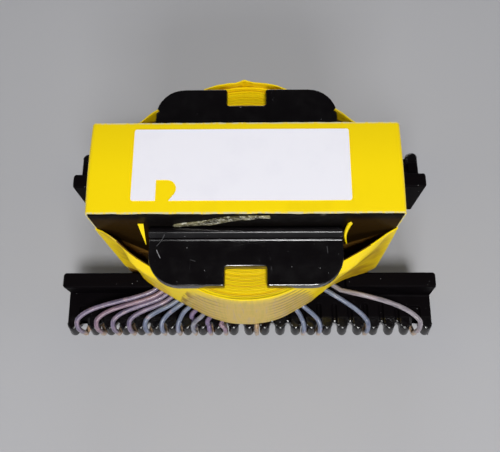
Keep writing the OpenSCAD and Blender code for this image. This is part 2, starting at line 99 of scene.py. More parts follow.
# How wide the rims of a wrapped tape are rounded
RIM_EDGE = 0.03 * MM


# What all colours and all lengths among the settings share
COLOUR = {"subtype": "COLOR", "size": 3, "min": 0, "max": 1}
LENGTH = {"subtype": "DISTANCE", "unit": "LENGTH"}


class TapeSettings(bpy.types.PropertyGroup):
    """Sizes and colours of the yellow film tapes."""

    film: bpy.props.FloatVectorProperty(
        name="Film", description="Colour of the tape film",
        default=(0.96, 0.71, 0.0), **COLOUR)
    deep: bpy.props.FloatVectorProperty(
        name="Deep", description="Colour of the film away from the light",
        default=(0.80, 0.58, 0.0), **COLOUR)
    shade: bpy.props.FloatVectorProperty(
        name="Shade", description="Deeper colour where tape lies over tape",
        default=(0.80, 0.50, 0.0), **COLOUR)
    # Painted reflection: pale colour that stands for the sheen of the floor on the belt's front
    painted_sheen: bpy.props.FloatVectorProperty(
        name="Haze", description="Pale colour of the varnished coil front",
        default=(0.61, 0.42, 0.095), **COLOUR)
    thickness: bpy.props.FloatProperty(
        name="Thickness", description="Thickness of a wrapped tape",
        default=0.2 * MM, **LENGTH)
    flare: bpy.props.FloatProperty(
        name="Flare", description="How far the belt's rear rim leans outward",
        default=0.06 * MM, **LENGTH)


class MouldingSettings(bpy.types.PropertyGroup):
    """Look of the moulded bobbin and the ferrite."""

    plastic: bpy.props.FloatVectorProperty(
        name="Plastic", description="Colour of the moulded bobbin",
        default=(0.0032, 0.0024, 0.003), **COLOUR)
    ferrite: bpy.props.FloatVectorProperty(
        name="Ferrite", description="Colour of the core",
        default=(0.0045, 0.0035, 0.0033), **COLOUR)
    edge: bpy.props.FloatProperty(
        name="Edge", description="Width of the moulding's rounded edges",
        default=0.25 * MM, **LENGTH)


class LeadSettings(bpy.types.PropertyGroup):
    """Sizes of the sleeved leads."""

    diameter: bpy.props.FloatProperty(
        name="Diameter", description="Outer diameter of a sleeved lead",
        default=0.75 * MM, **LENGTH)
    tin: bpy.props.FloatVectorProperty(
        name="Tin", description="Colour of the tinned pins",
        default=(0.62, 0.62, 0.60), **COLOUR)


class StageSettings(bpy.types.PropertyGroup):
    """Camera, floor and lamps."""

    lens: bpy.props.FloatProperty(
        name="Lens", description="Focal length of the camera", subtype="DISTANCE_CAMERA",
        default=44.41)
    eye: bpy.props.FloatVectorProperty(
        name="Eye", description="Place of the camera", subtype="TRANSLATION", size=3,
        default=(1.794 * MM, -31.645 * MM, 110.964 * MM))
    tilt: bpy.props.FloatVectorProperty(
        name="Tilt", description="Rotation of the camera", subtype="EULER", size=3,
        default=(math.radians(18.545), math.radians(0.914), math.radians(0.115)))
    floor: bpy.props.FloatVectorProperty(
        name="Floor", description="Colour of the floor",
        default=(0.44, 0.44, 0.46), **COLOUR)


# Objects

def put(thing, **settings):
    """Sets properties of a thing and returns it."""
    for key, value in settings.items():
        setattr(thing, key, value)
    return thing


def deselect():
    """Leaves nothing selected, because an operator acts on all that is."""
    bpy.ops.object.select_all(action="DESELECT")


def pick(piece):
    """Makes one piece the selected and active one."""
    deselect()
    piece.select_set(True)
    bpy.context.view_layer.objects.active = piece


@contextmanager
def editing(piece, action="SELECT"):
    """Edit mode on a piece, with all of its mesh selected or none of it."""
    pick(piece)
    bpy.ops.object.mode_set(mode="EDIT")
    bpy.ops.mesh.select_all(action=action)
    yield
    bpy.ops.object.mode_set(mode="OBJECT")


def apply_all(piece):
    """Applies each modifier of a piece in order."""
    pick(piece)
    for modifier in list(piece.modifiers):
        bpy.ops.object.modifier_apply(modifier=modifier.name)


def cover(piece, material):
    """Gives a piece one material in place of what it has."""
    piece.data.materials.clear()
    piece.data.materials.append(material)


def settle(piece, name, material, replaced=()):
    """Names a finished piece, gives it its place, material and slot, and lets it ride on the part."""
    pick(piece)
    bpy.ops.object.transform_apply(location=True, rotation=True, scale=True)
    piece.name = piece.data.name = name
    cover(piece, material)
    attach(piece, "root")
    if replaced:
        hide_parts(*replaced)
    deselect()


def copy_node(node):
    """A merged copy of a CAD node's mesh, with flat faces joined up again."""
    piece = bpy.data.objects.new(node + "_copy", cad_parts[node].data.copy())
    bpy.context.scene.collection.objects.link(piece)
    with editing(piece):
        bpy.ops.mesh.remove_doubles(threshold=0.001 * MM)
        bpy.ops.mesh.dissolve_limited(angle_limit=math.radians(0.3))
    return piece


def round_edges(piece, width):
    """Rounds the sharp edges of a piece and shades it from its large faces."""
    sharp = math.radians(32)
    put(piece.modifiers.new("Edges", "BEVEL"), width=width, segments=2, limit_method="ANGLE",
        angle_limit=sharp, use_clamp_overlap=False, miter_outer="MITER_ARC")
    apply_all(piece)
    bpy.ops.object.shade_smooth_by_angle(angle=sharp)
    put(piece.modifiers.new("Shading", "WEIGHTED_NORMAL"), keep_sharp=True)
    apply_all(piece)


def face_outward(piece, centre):
    """Turns the faces of an open wall so that they look away from its middle."""
    outward = sum((f.normal.dot(f.center - centre(f.center)) > 0) * 2 - 1 for f in piece.data.polygons)
    if outward < 0:
        with editing(piece):
            bpy.ops.mesh.flip_normals()


def thicken(piece, thickness, offset=-1, edge=0.0):
    """Gives a wall its thickness, with rims, and softens its edges."""
    put(piece.modifiers.new("Thickness", "SOLIDIFY"), thickness=thickness, offset=offset,
        use_even_offset=True)
    if edge:
        put(piece.modifiers.new("Edges", "BEVEL"), width=edge, segments=2,
            angle_limit=math.radians(50), use_clamp_overlap=True)
    apply_all(piece)
    bpy.ops.object.shade_smooth_by_angle(angle=math.radians(40))


# Outlines and measures

def lengths(points):
    """Length along a row of points, up to each of them."""
    return list(accumulate((math.dist(a, b) for a, b in pairwise(points)), initial=0.0))


def wall(outline, rows):
    """A closed wall: a ring laid on an outline and extruded up through rows of heights.

    Its UV map holds the length along the outline and the height, in metres. It returns the piece
    and, for each vertex, the number of its column and of its row.
    """
    deselect()
    count = len(outline)
    bpy.ops.mesh.primitive_circle_add(vertices=count, radius=1)
    piece = bpy.context.object
    for vertex, (x, y) in zip(piece.data.vertices, outline):
        vertex.co = (x, y, rows[0])
    with editing(piece):
        for low, high in pairwise(rows):
            bpy.ops.mesh.extrude_region_move(TRANSFORM_OT_translate={"value": (0, 0, high - low)})
    columns = kdtree.KDTree(count)
    for i, (x, y) in enumerate(outline):
        columns.insert((x, y, 0), i)
    columns.balance()
    places = []
    for vertex in piece.data.vertices:
        column = columns.find((vertex.co.x, vertex.co.y, 0))[1]
        places.append((column, min(range(len(rows)), key=lambda i: abs(rows[i] - vertex.co.z))))
    reach = lengths(outline + outline[:1])
    layer = piece.data.uv_layers.active or piece.data.uv_layers.new(name="wrap")
    for face in piece.data.polygons:
        seam = {places[v][0] for v in face.vertices} == {0, count - 1}
        for loop in face.loop_indices:
            column, row = places[piece.data.loops[loop].vertex_index]
            layer.data[loop].uv = (reach[count if seam and column == 0 else column], rows[row])
    return piece, places


def normals_along(outline):
    """Outward direction at each point of a closed outline that runs anticlockwise."""
    result = []
    for i in range(len(outline)):
        a, b = outline[i - 1], outline[(i + 1) % len(outline)]
        dx, dy = b[0] - a[0], b[1] - a[1]
        size = math.hypot(dx, dy)
        result.append((dy / size, -dx / size))
    return result


def spaced(points, step):
    """Points of a closed outline at even spacing, its corners kept."""
    result = []
    for a, b in pairwise(points + points[:1]):
        cuts = max(1, round(math.dist(a, b) / step))
        result += [(a[0] + (b[0] - a[0]) * i / cuts, a[1] + (b[1] - a[1]) * i / cuts) for i in range(cuts)]
    return result


def opposite(points):
    """The same points on the other side of the middle."""
    return [(-x, -y) for x, y in points]


def rear_arc(radius, start, steps):
    """An arc round the coil's rear, from a start angle to the same angle on the other side."""
    angles = [start + (math.pi - 2 * start) * i / steps for i in range(steps + 1)]
    return [(radius * math.cos(t), COIL_BULGE + radius * math.sin(t)) for t in angles]


def belt_path(gap, step):
    """The belt's closed path, anticlockwise: straight from the core legs to the round coil."""
    radius, half_w, half_d = COIL_HIGH.x + gap, LEG_X + gap, LEG_Y + gap
    dx, dy = half_w, half_d - COIL_BULGE
    start = math.atan2(dy, dx) + math.acos(radius / math.hypot(dx, dy))
    half = [(half_w, -half_d), (half_w, half_d)] + rear_arc(radius, start, BELT_STEPS)
    return spaced(half + opposite(half), step)


def coil_path(radius, step):
    """A turn of the coil: two half circles moved apart by the coil's bulge."""
    half = rear_arc(radius, 0, COIL_STEPS)
    return spaced(half + opposite(half), step)


def inside_flange(x, y, margin):
    """Whether a point lies under the upper flange, with some margin."""
    dx = abs(x) - (FLANGE_X - FLANGE_R)
    dy = abs(y) - (FLANGE_Y - FLANGE_R)
    if dx <= 0 or dy <= 0:
        return abs(x) < FLANGE_X + margin and abs(y) < FLANGE_Y + margin
    return math.hypot(dx, dy) < FLANGE_R + margin


def smoothstep(low, high, value):
    """A smooth change from 0 to 1 between two limits of a value."""
    t = min(1.0, max(0.0, (value - low) / (high - low)))
    return t * t * (3 - 2 * t)


def bell(value, middle, width):
    """1 in the middle, falling off to both sides."""
    return math.exp(-((value - middle) / width) ** 2)


def rough(x, y, z, size, seed=0.0):
    """Smooth noise from -1 to 1 with features of a given size."""
    return noise.noise(Vector((x / size + seed, y / size - seed, z / size + seed * 0.5)))


def between(table, x):
    """A table's values in metres at a place along X, with a smooth change from row to row."""
    x = min(table[-1][0] - 0.01, max(table[0][0] + 0.01, x / MM))
    for a, b in pairwise(table):
        if x <= b[0]:
            t = smoothstep(a[0], b[0], x)
            return [(p + (q - p) * t) * MM for p, q in zip(a[1:], b[1:])]


# Materials, with sizes, places and depths in millimetres

FLANGE = FLANGE_Z / MM
CORE_TOP, CORE_EDGE, CORE_FRONT = CORE_HIGH.z / MM, CORE_HIGH.x / MM, CORE_HIGH.y / MM
BELT_TOP = BELT_HIGH.z / MM
SHELF_LOW = SHELF_LOW_Z / MM
# Painted reflection, a pale sheen on the belt's front that stands for the floor's reflection: top of its arc,
# and how far the arc falls with the fourth power of X
SHEEN_TOP = CORE_TOP - 7.5
SHEEN_FALL = 0.00145
# Edges of the belt's turns: rise along X, and height from turn to turn
TURN_SLOPE = -0.06
TURN_GAP = 2.1
# Painted shade below a crease on the belt's right side: X where it lies about 10 below the flange, and rise
# along X
CREASE_X = 13.7
CREASE_SLOPE = 2.05
# Painted shade in folds on the belt's left side: fall along X, and height from fold to fold
FOLD_SLOPE = 1.7
FOLD_GAP = 3.1416
# Seams between the turns of tape, and turns of the copper winding: spacing
SEAM_GAP = 0.3
WINDING_GAP = 0.5
# The bare end of a lead's sleeve: how far above the shelf's underside it starts and is full
TAIL_START, TAIL_FULL = 2.6, 0.9
# Scratches on the upper flange: width, X and Y of both ends, and how strong they are
SCRATCH_W = 0.06
SCRATCHES = (
    (-11.5, -9.35, -10.95, -10.5, 0.6), (-10.4, -7.5, -11.5, -8.9, 0.12), (10.4, -8.9, 10.5, -9.9, 0.1),
    (-7.1, -10.7, -6.4, -10.9, 0.08),
)


class Finish:
    """A material under construction, with short calls for the nodes that its pattern needs."""

    def __init__(self, name, colour, roughness, metallic=0.0, coat=0.0, coat_roughness=0.1, specular=0.5):
        self.material = bpy.data.materials.new(name)
        self.material.use_nodes = True
        self.material.diffuse_color = (*colour, 1)
        self.tree = self.material.node_tree
        self.shader = self.tree.nodes["Principled BSDF"]
        for socket, value in (("Base Color", (*colour, 1)), ("Roughness", roughness), ("Metallic", metallic),
                              ("Coat Weight", coat), ("Coat Roughness", coat_roughness),
                              ("Specular IOR Level", specular)):
            self.shader.inputs[socket].default_value = value
        self.relief = None

    def node(self, kind, inputs=(), **settings):
        """A new node with its settings, and with constants or links in its inputs."""
        made = put(self.tree.nodes.new("ShaderNode" + kind), **settings)
        for socket, value in dict(inputs).items():
            if isinstance(value, bpy.types.NodeSocket):
                self.tree.links.new(value, made.inputs[socket])
            else:
                made.inputs[socket].default_value = value
        return made

    def place(self, stretch=(1, 1, 1), surface=False):
        """Object coordinates, or the piece's own UV map, in metres and stretched for a pattern."""
        coordinates = self.node("TexCoord").outputs["UV" if surface else "Object"]
        return self.node("Mapping", {"Vector": coordinates, "Scale": stretch}).outputs["Vector"]

    def split(self):
        """X, Y and Z on the piece."""
        return tuple(self.node("SeparateXYZ", {"Vector": self.place((1 / MM,) * 3)}).outputs)

    def noise(self, size, detail=4.0, rough=0.55, stretch=(1, 1, 1), surface=False, twist=0.0):
        """Noise with features of a size."""
        return self.node("TexNoise", {
            "Scale": 1 / (size * MM), "Detail": detail, "Roughness": rough, "Distortion": twist,
            "Vector": self.place(stretch, surface)}).outputs["Fac"]

    def specks(self, size, cover):
        """Small round specks in random places, 1 inside and 0 outside."""
        texture = self.node("TexVoronoi", {
            "Scale": 1 / (size * MM), "Randomness": 1, "Vector": self.place()}, feature="F1")
        return self.range(texture.outputs["Distance"], cover * 0.7, cover, 1, 0)

    def range(self, value, low, high, to_low=0.0, to_high=1.0):
        """A smooth change from one output to another, between two limits of a value."""
        return self.node("MapRange", {
            "Value": value, "From Min": low, "From Max": high, "To Min": to_low, "To Max": to_high,
        }, interpolation_type="SMOOTHSTEP").outputs["Result"]

    def band(self, value, start, low, high, end):
        """1 from low to high, and 0 before the start and past the end."""
        return self.times(self.range(value, start, low), self.range(value, end, high))

    def math(self, operation, a, b=0.0):
        return self.node("Math", {0: a, 1: b}, operation=operation).outputs["Value"]

    def plus(self, a, b):
        return self.math("ADD", a, b)

    def minus(self, a, b):
        return self.math("SUBTRACT", a, b)

    def abs(self, value):
        return self.math("ABSOLUTE", value)

    def most(self, a, b):
        return self.math("MAXIMUM", a, b)

    def times(self, first, *others):
        for other in others:
            first = self.math("MULTIPLY", first, other)
        return first

    def ripple(self, value, gap):
        """A wave from -1 to 1 that repeats each time the value grows by a gap."""
        return self.math("SINE", self.times(value, 2 * math.pi / gap))

    def line(self, x, y, x0, y0, x1, y1, width):
        """A straight mark between two places, seen from above: 1 on it and 0 beside it."""
        size = math.hypot(x1 - x0, y1 - y0)
        dx, dy = (x1 - x0) / size, (y1 - y0) / size
        right, ahead = self.minus(x, x0), self.minus(y, y0)
        along = self.plus(self.times(right, dx), self.times(ahead, dy))
        aside = self.minus(self.times(right, dy), self.times(ahead, dx))
        within = self.abs(self.minus(along, size / 2))
        return self.times(self.range(self.abs(aside), width, width * 0.4),
                          self.range(within, size / 2, size / 2 - width))

    def tint(self, colour, *masks):
        """Paints a colour over what the material has so far, where all the masks say."""
        base = self.shader.inputs["Base Color"]
        below = base.links[0].from_socket if base.links else base.default_value
        mix = self.node("Mix", {"Factor": self.times(*masks), "A": below, "B": (*colour, 1)}, data_type="RGBA")
        self.tree.links.new(mix.outputs["Result"], base)

    def vary(self, socket, value, *limits):
        """Drives an input of the shader by a value, or by the value's smooth range."""
        self.tree.links.new(self.range(value, *limits) if limits else value, self.shader.inputs[socket])

    def bump(self, value, depth):
        """Adds relief of a depth to the relief so far."""
        inputs = {"Strength": 1, "Distance": depth * MM, "Height": value}
        if self.relief:
            inputs["Normal"] = self.relief
        self.relief = self.node("Bump", inputs).outputs["Normal"]
        self.vary("Normal", self.relief)

    def grain(self, size, depth, detail=2, **settings):
        """Adds relief from noise with features of a size."""
        self.bump(self.noise(size, detail, **settings), depth)


def moulded_plastic(settings):
    """Black phenolic: satin gloss, fine flow texture, scuffs and dust, duller on the rails."""
    finish = Finish("moulded plastic", settings.plastic, 0.3)
    cloud = finish.noise(2.2)
    x, y, z = finish.split()
    finish.grain(0.45, 0.012)
    inside = finish.range(finish.abs(y), 14.2, 13.4)
    rails = finish.times(finish.range(z, FLANGE - 4, FLANGE - 6), inside)
    ends = finish.times(finish.range(finish.abs(x), 25.4, 26.4), inside)
    dull = finish.most(rails, ends)
    finish.vary("Roughness", finish.most(finish.range(cloud, 0.3, 0.7, 0.13, 0.26), finish.times(dull, 0.5)))
    finish.vary("Specular IOR Level", dull, 0, 1, 0.62, 0.02)
    finish.grain(0.16, 0.006)
    scuff = finish.noise(0.5, detail=6, rough=0.7, stretch=(1, 0.16, 1), twist=1.2)
    finish.tint((0.09, 0.088, 0.095), finish.range(scuff, 0.66, 0.74, 0, 0.35))
    dust = finish.times(finish.specks(0.9, 0.07), finish.range(cloud, 0.45, 0.6))
    finish.tint((0.35, 0.35, 0.36), dust)
    finish.bump(dust, 0.02)
    top = finish.range(z, FLANGE, FLANGE + 0.5)
    for x0, y0, x1, y1, strength in SCRATCHES:
        finish.tint((0.5, 0.5, 0.52), finish.line(x, y, x0, y0, x1, y1, SCRATCH_W), top, strength)
    return finish.material


def sintered_ferrite(settings):
    """Dark grey ferrite: matt and pitted, brown beside the flange as varnish stain and painted reflection of
    the amber tape, with smudges near the top.
    """
    finish = Finish("sintered ferrite", settings.ferrite, 0.4, specular=0.02)
    cloud = finish.noise(1.6, detail=5)
    finish.vary("Roughness", cloud, 0.3, 0.7, 0.32, 0.5)
    finish.tint((0.012, 0.0095, 0.0085), finish.range(cloud, 0.5, 0.75, 0, 0.6))
    x, y, z = finish.split()
    across = finish.abs(x)
    aside = finish.range(across, 12.2, 13.4)
    # Brown near the top beside the flange: partly varnish stain, partly painted reflection of the amber tape
    finish.tint((0.030, 0.015, 0.003), aside, finish.range(z, CORE_TOP - 0.6, CORE_TOP - 2.6), 0.85)
    inward = finish.minus(across, CORE_EDGE)
    face = finish.range(finish.abs(y), LEG_Y / MM - 0.5, LEG_Y / MM - 0.2)
    # Painted light below a slanting line where the belt's rim shadows the leg: brown painted in for the amber
    # light that the tape reflects there; its slope on the left and the right, where it starts and is full
    for left, right, start, full, colour in (
            (2.1, 1.35, 4.6, 6, (0.15, 0.07, 0.011)), (1.9, 1.1, 5.5, 6.4, (0.42, 0.20, 0.035))):
        level = finish.minus(z, finish.times(inward, finish.range(x, -1, 1, left, right)))
        finish.tint(colour, finish.range(level, CORE_TOP - start, CORE_TOP - full), aside, face)
    smudge = finish.range(finish.noise(1.4, detail=4, stretch=(0.5, 1, 1)), 0.5, 0.62)
    near_top = finish.range(z, CORE_TOP - 1.6, CORE_TOP - 0.5)
    finish.tint((0.13, 0.12, 0.10), smudge, near_top, finish.band(across, 9, 10, 12.4, 13.4), 0.8)
    finish.grain(0.12, 0.004, detail=3)
    finish.tint((0.012, 0.012, 0.013), finish.specks(0.45, 0.16))
    return finish.material


def flap_tape(settings):
    """Yellow film tape of the flaps: soft gloss, deeper where it is doubled."""
    finish = Finish("flap tape", settings.film, 0.32, coat=0.25, coat_roughness=0.12)
    cloud = finish.noise(6, detail=3)
    finish.vary("Roughness", cloud, 0.3, 0.7, 0.26, 0.38)
    finish.tint(settings.shade, finish.range(cloud, 0.52, 0.75, 0, 0.28))
    finish.grain(1.8, 0.03)
    finish.tint((0.18, 0.10, 0.01), finish.specks(2.6, 0.035), 0.7)
    return finish.material


def core_film(settings):
    """Film tape over the core: paler toward the front and darker toward the rear as painted shade, with a
    whitish frayed edge along both sides.
    """
    finish = Finish("core film tape", settings.film, 0.34, coat=0.15, coat_roughness=0.15)
    y = finish.split()[1]
    # Painted shade: the film darker toward the rear, away from the light
    finish.tint(settings.deep, finish.range(y, -2, 8, 0, 0.75))
    cloud = finish.noise(7, detail=3, stretch=(1, 0.35, 1))
    finish.tint(settings.deep, finish.range(cloud, 0.52, 0.7, 0, 0.35))
    fray = finish.noise(0.5, detail=4, stretch=(1, 0.3, 1))
    edge = finish.range(finish.abs(y), CORE_FRONT - 0.26, CORE_FRONT - 0.08)
    finish.tint((0.62, 0.60, 0.42), edge, finish.range(fray, 0.38, 0.55, 0.15, 0.9))
    finish.grain(1.8, 0.02)
    finish.grain(0.3, 0.004, stretch=(0.05, 1, 1))
    finish.tint((0.25, 0.14, 0.01), finish.specks(2.6, 0.03), 0.6)
    return finish.material


def wrapped_tape(settings):
    """The belt's outside: film tape, with a painted reflection as a pale sheen below an arc on the front, and
    the edges of its turns.
    """
    finish = Finish("wrapped tape", settings.film, 0.4, specular=0.25)
    x, y, z = finish.split()
    across = finish.abs(x)
    front = finish.range(y, -8, -11)
    finish.tint(settings.shade, finish.range(finish.noise(5, detail=3), 0.5, 0.75, 0, 0.4))
    below = belt_painted_sheen(finish, settings, across, z, front)
    belt_turns(finish, x, across, z, front, below)
    belt_flanks(finish, x, z, finish.range(y, -6, -7.5))
    finish.grain(1.5, 0.05, stretch=(0.4, 1, 1), surface=True)
    return finish.material


def belt_painted_sheen(finish, settings, across, z, front):
    """Painted reflection: a pale sheen with upright fibres on the belt's front. Returns how far a place lies
    below its ragged arc.
    """
    arc = finish.minus(SHEEN_TOP, finish.times(finish.math("POWER", across, 4), SHEEN_FALL))
    fibre = finish.noise(0.5, detail=2, stretch=(1, 1, 0.06))
    ragged = finish.times(finish.minus(finish.noise(2.2, detail=3), 0.5), 2.4)
    ragged = finish.plus(ragged, finish.times(finish.minus(fibre, 0.5), 2))
    below = finish.plus(finish.minus(arc, z), ragged)
    painted_sheen = finish.times(finish.range(below, -1.4, 2.2), finish.range(across, 12, 9.5), front)
    # Painted reflection: the pale sheen below the ragged arc
    finish.tint(settings.painted_sheen, painted_sheen, 0.92)
    ribs = finish.noise(0.45, detail=2, stretch=(1, 1, 0.06))
    finish.tint((0.52, 0.40, 0.06), finish.range(ribs, 0.48, 0.62, 0, 0.55), painted_sheen)
    finish.tint((0.50, 0.36, 0.20), finish.range(ribs, 0.44, 0.34, 0, 0.5), painted_sheen)
    return below


def belt_turns(finish, x, across, z, front, below):
    """Edges of the belt's turns on both sides of the painted sheen, and a stain at the sheen's left end."""
    wander = finish.times(finish.noise(5, detail=2), 0.7)
    rise = finish.plus(finish.plus(z, finish.times(x, TURN_SLOPE)), wander)
    wave = finish.ripple(rise, TURN_GAP)
    reach = finish.plus(below, finish.range(x, -2, 4, 0, 3))
    side = finish.times(finish.band(across, 2.2, 5, 8.5, 12.5), front, finish.range(reach, 0, 1.6))
    broken = finish.range(finish.noise(2.5, detail=3, stretch=(0.4, 0.4, 1)), 0.3, 0.55, 0.3, 1)
    finish.tint((0.20, 0.10, 0.01), finish.range(wave, 0.55, 1), side, broken,
                finish.range(x, -2, 3, 0.75, 1))
    finish.tint((0.26, 0.13, 0.008), finish.band(x, -11.6, -10.4, -8.4, -7), front,
                finish.range(finish.noise(1.6, detail=4), 0.38, 0.5),
                finish.band(below, -2.6, -1, 1.4, 3.4), 0.8)
    finish.bump(finish.times(wave, side), 0.015)


def belt_flanks(finish, x, z, flank):
    """Streaked and folded film on the belt's slanting sides: painted shade below the crease on the right and in
    the folds on the left, darker amber at the far left and more orange low on the left.
    """
    streak = finish.noise(1.6, detail=3, stretch=(0.35, 0.35, 0.8), twist=0.4)
    streaks = finish.range(streak, 0.35, 0.65, 0.55, 1)
    crease = finish.minus(z, finish.times(finish.minus(x, CREASE_X), CREASE_SLOPE))
    # Painted shade: darker amber below the crease, where the fold turns away from the light
    finish.tint((0.36, 0.21, 0.006), finish.range(crease, FLANGE - 9.6, FLANGE - 11),
                finish.range(x, 11.5, 13.5), streaks, flank)
    finish.tint((0.40, 0.26, 0.014), finish.range(x, -16.2, -17.4), flank, streaks)
    left = finish.times(finish.range(x, -11, -13), flank)
    finish.tint((0.72, 0.42, 0.005), left, finish.range(z, FLANGE - 11, FLANGE - 14), 0.6)
    lift = finish.times(finish.noise(1.5, detail=2), 1.4)
    slant = finish.plus(finish.plus(z, finish.times(x, FOLD_SLOPE)), lift)
    fold = finish.ripple(slant, FOLD_GAP)
    # Painted shade in the folds on the left side
    finish.tint((0.38, 0.22, 0.01), finish.range(fold, 0.1, 1, 0, 0.7), left,
                finish.band(z, FLANGE - 14, FLANGE - 12, FLANGE - 7, FLANGE - 5))


def tape_inside():
    """The belt's inside: painted shade in dark brown, with the yellow film painted as lit near the rear rim."""
    # Painted shade: the yellow film painted dark brown where the belt's inside lies in shadow
    finish = Finish("tape inside", (0.17, 0.08, 0.008), 0.35, coat=0.15, coat_roughness=0.15)
    x, y, z = finish.split()
    finish.tint((0.25, 0.13, 0.012), finish.range(finish.noise(2.5, detail=3), 0.5, 0.7, 0, 0.5))
    rear = finish.range(y, 0, 4)
    high = finish.range(z, BELT_TOP - 1.3, BELT_TOP - 0.9)
    lit = finish.most(high, finish.range(finish.abs(x), 10, 8))
    # Painted light: yellow film on the rear side, high up and in the middle, where light reaches it
    finish.tint((0.88, 0.58, 0.0), lit, rear)
    turns = finish.range(finish.noise(0.4, detail=1, stretch=(0.08, 1, 0.3)), 0.52, 0.62)
    finish.tint((0.50, 0.22, 0.0), turns, rear, 0.6)
    finish.grain(1.2, 0.03)
    return finish.material


def layered_tape(settings):
    """Edges of wound tape seen from above: yellow with amber seams that follow the turns."""
    finish = Finish("layered tape", settings.film, 0.45, specular=0.3)
    x, y, _ = finish.split()
    ahead = finish.most(finish.minus(finish.abs(y), COIL_BULGE / MM), 0)
    radius = finish.math("SQRT", finish.plus(finish.times(ahead, ahead), finish.times(x, x)))
    turns = finish.node("TexNoise", {"W": radius, "Scale": 1 / SEAM_GAP, "Detail": 2}, noise_dimensions="1D")
    finish.tint((0.70, 0.34, 0.0), finish.range(turns.outputs["Fac"], 0.54, 0.66), 0.5)
    finish.bump(turns.outputs["Fac"], 0.04)
    finish.tint(settings.shade, finish.range(finish.noise(1.2), 0.58, 0.75, 0, 0.15))
    return finish.material


def label_film():
    """Blank white label: smooth film over paper, barely mottled."""
    finish = Finish("label film", (0.86, 0.85, 0.91), 0.38)
    finish.vary("Roughness", finish.noise(0.8), 0.3, 0.7, 0.32, 0.46)
    finish.tint((0.78, 0.77, 0.85), finish.range(finish.noise(5), 0.45, 0.75, 0, 0.35))
    finish.grain(0.2, 0.004, detail=3)
    return finish.material


def dried_varnish():
    """Dark amber varnish: glassy and lumpy, with painted pale glints on its crazed ridges."""
    finish = Finish("dried varnish", (0.06, 0.05, 0.018), 0.12, coat=1.0, coat_roughness=0.05)
    clots = finish.noise(0.7, detail=5, rough=0.65, stretch=(0.6, 1, 1))
    finish.tint((0.34, 0.31, 0.17), finish.range(clots, 0.44, 0.58, 0, 0.85))
    ridges_and_glints = finish.noise(0.3, detail=3, stretch=(0.4, 1, 1), twist=1.5)
    # Painted highlight: pale glints on the ridges
    finish.tint((0.80, 0.78, 0.64), finish.range(ridges_and_glints, 0.56, 0.64, 0, 0.9))
    finish.bump(clots, 0.2)
    finish.bump(ridges_and_glints, 0.08)
    return finish.material


def tinned_metal(settings, name, roughness, lumps):
    """Tin and solder: bright, slightly clouded metal."""
    finish = Finish(name, settings.tin, roughness, metallic=1.0)
    cloud = finish.noise(1.5, detail=3)
    finish.vary("Roughness", cloud, 0.3, 0.7, roughness - 0.05, roughness + 0.08)
    finish.tint((0.46, 0.46, 0.45), finish.range(cloud, 0.5, 0.8, 0, 0.3))
    finish.grain(0.9, lumps)
    return finish.material


def enamelled_winding():
    """Copper winding under enamel: fine turns one above the other, with painted shade in the grooves between
    them.
    """
    finish = Finish("enamelled winding", (0.50, 0.17, 0.05), 0.3, metallic=0.7, coat=0.5)
    turn = finish.ripple(finish.split()[2], WINDING_GAP)
    finish.bump(turn, 0.08)
    # Painted shade in the grooves between the turns
    finish.tint((0.15, 0.04, 0.01), finish.range(turn, -0.4, -1, 0, 0.7))
    return finish.material


def woven_margin():
    """Pale margin tape: woven cloth."""
    finish = Finish("woven margin", (0.74, 0.62, 0.30), 0.7)
    weave = finish.noise(0.25, detail=2)
    finish.bump(weave, 0.03)
    finish.tint((0.60, 0.46, 0.18), finish.range(weave, 0.5, 0.7, 0, 0.4))
    return finish.material


def lead_sleeve(name, colour, shade):
    """A thin sleeve over wire: lengthwise streaks, the paler ones also painted highlights, and an amber tail
    where it enters the comb.
    """
    finish = Finish(name, colour, 0.34, coat=0.25, coat_roughness=0.12)
    streak = finish.noise(0.22, detail=3, stretch=(1, 0.08, 1), surface=True)
    finish.tint(shade, finish.range(streak, 0.45, 0.62))
    # Painted highlights: paler lengthwise streaks along the sleeve
    finish.tint(tuple(min(1, c * 1.6 + 0.1) for c in colour), finish.range(streak, 0.38, 0.30, 0, 0.6))
    finish.tint((0.42, 0.30, 0.34), finish.range(finish.noise(1.4, detail=3), 0.55, 0.72, 0, 0.5))
    tail = finish.range(finish.split()[2], SHELF_LOW + TAIL_START, SHELF_LOW + TAIL_FULL, 0, 0.75)
    finish.tint((0.52, 0.33, 0.16), tail)
    finish.bump(streak, 0.03)
    return finish.material


# Pieces

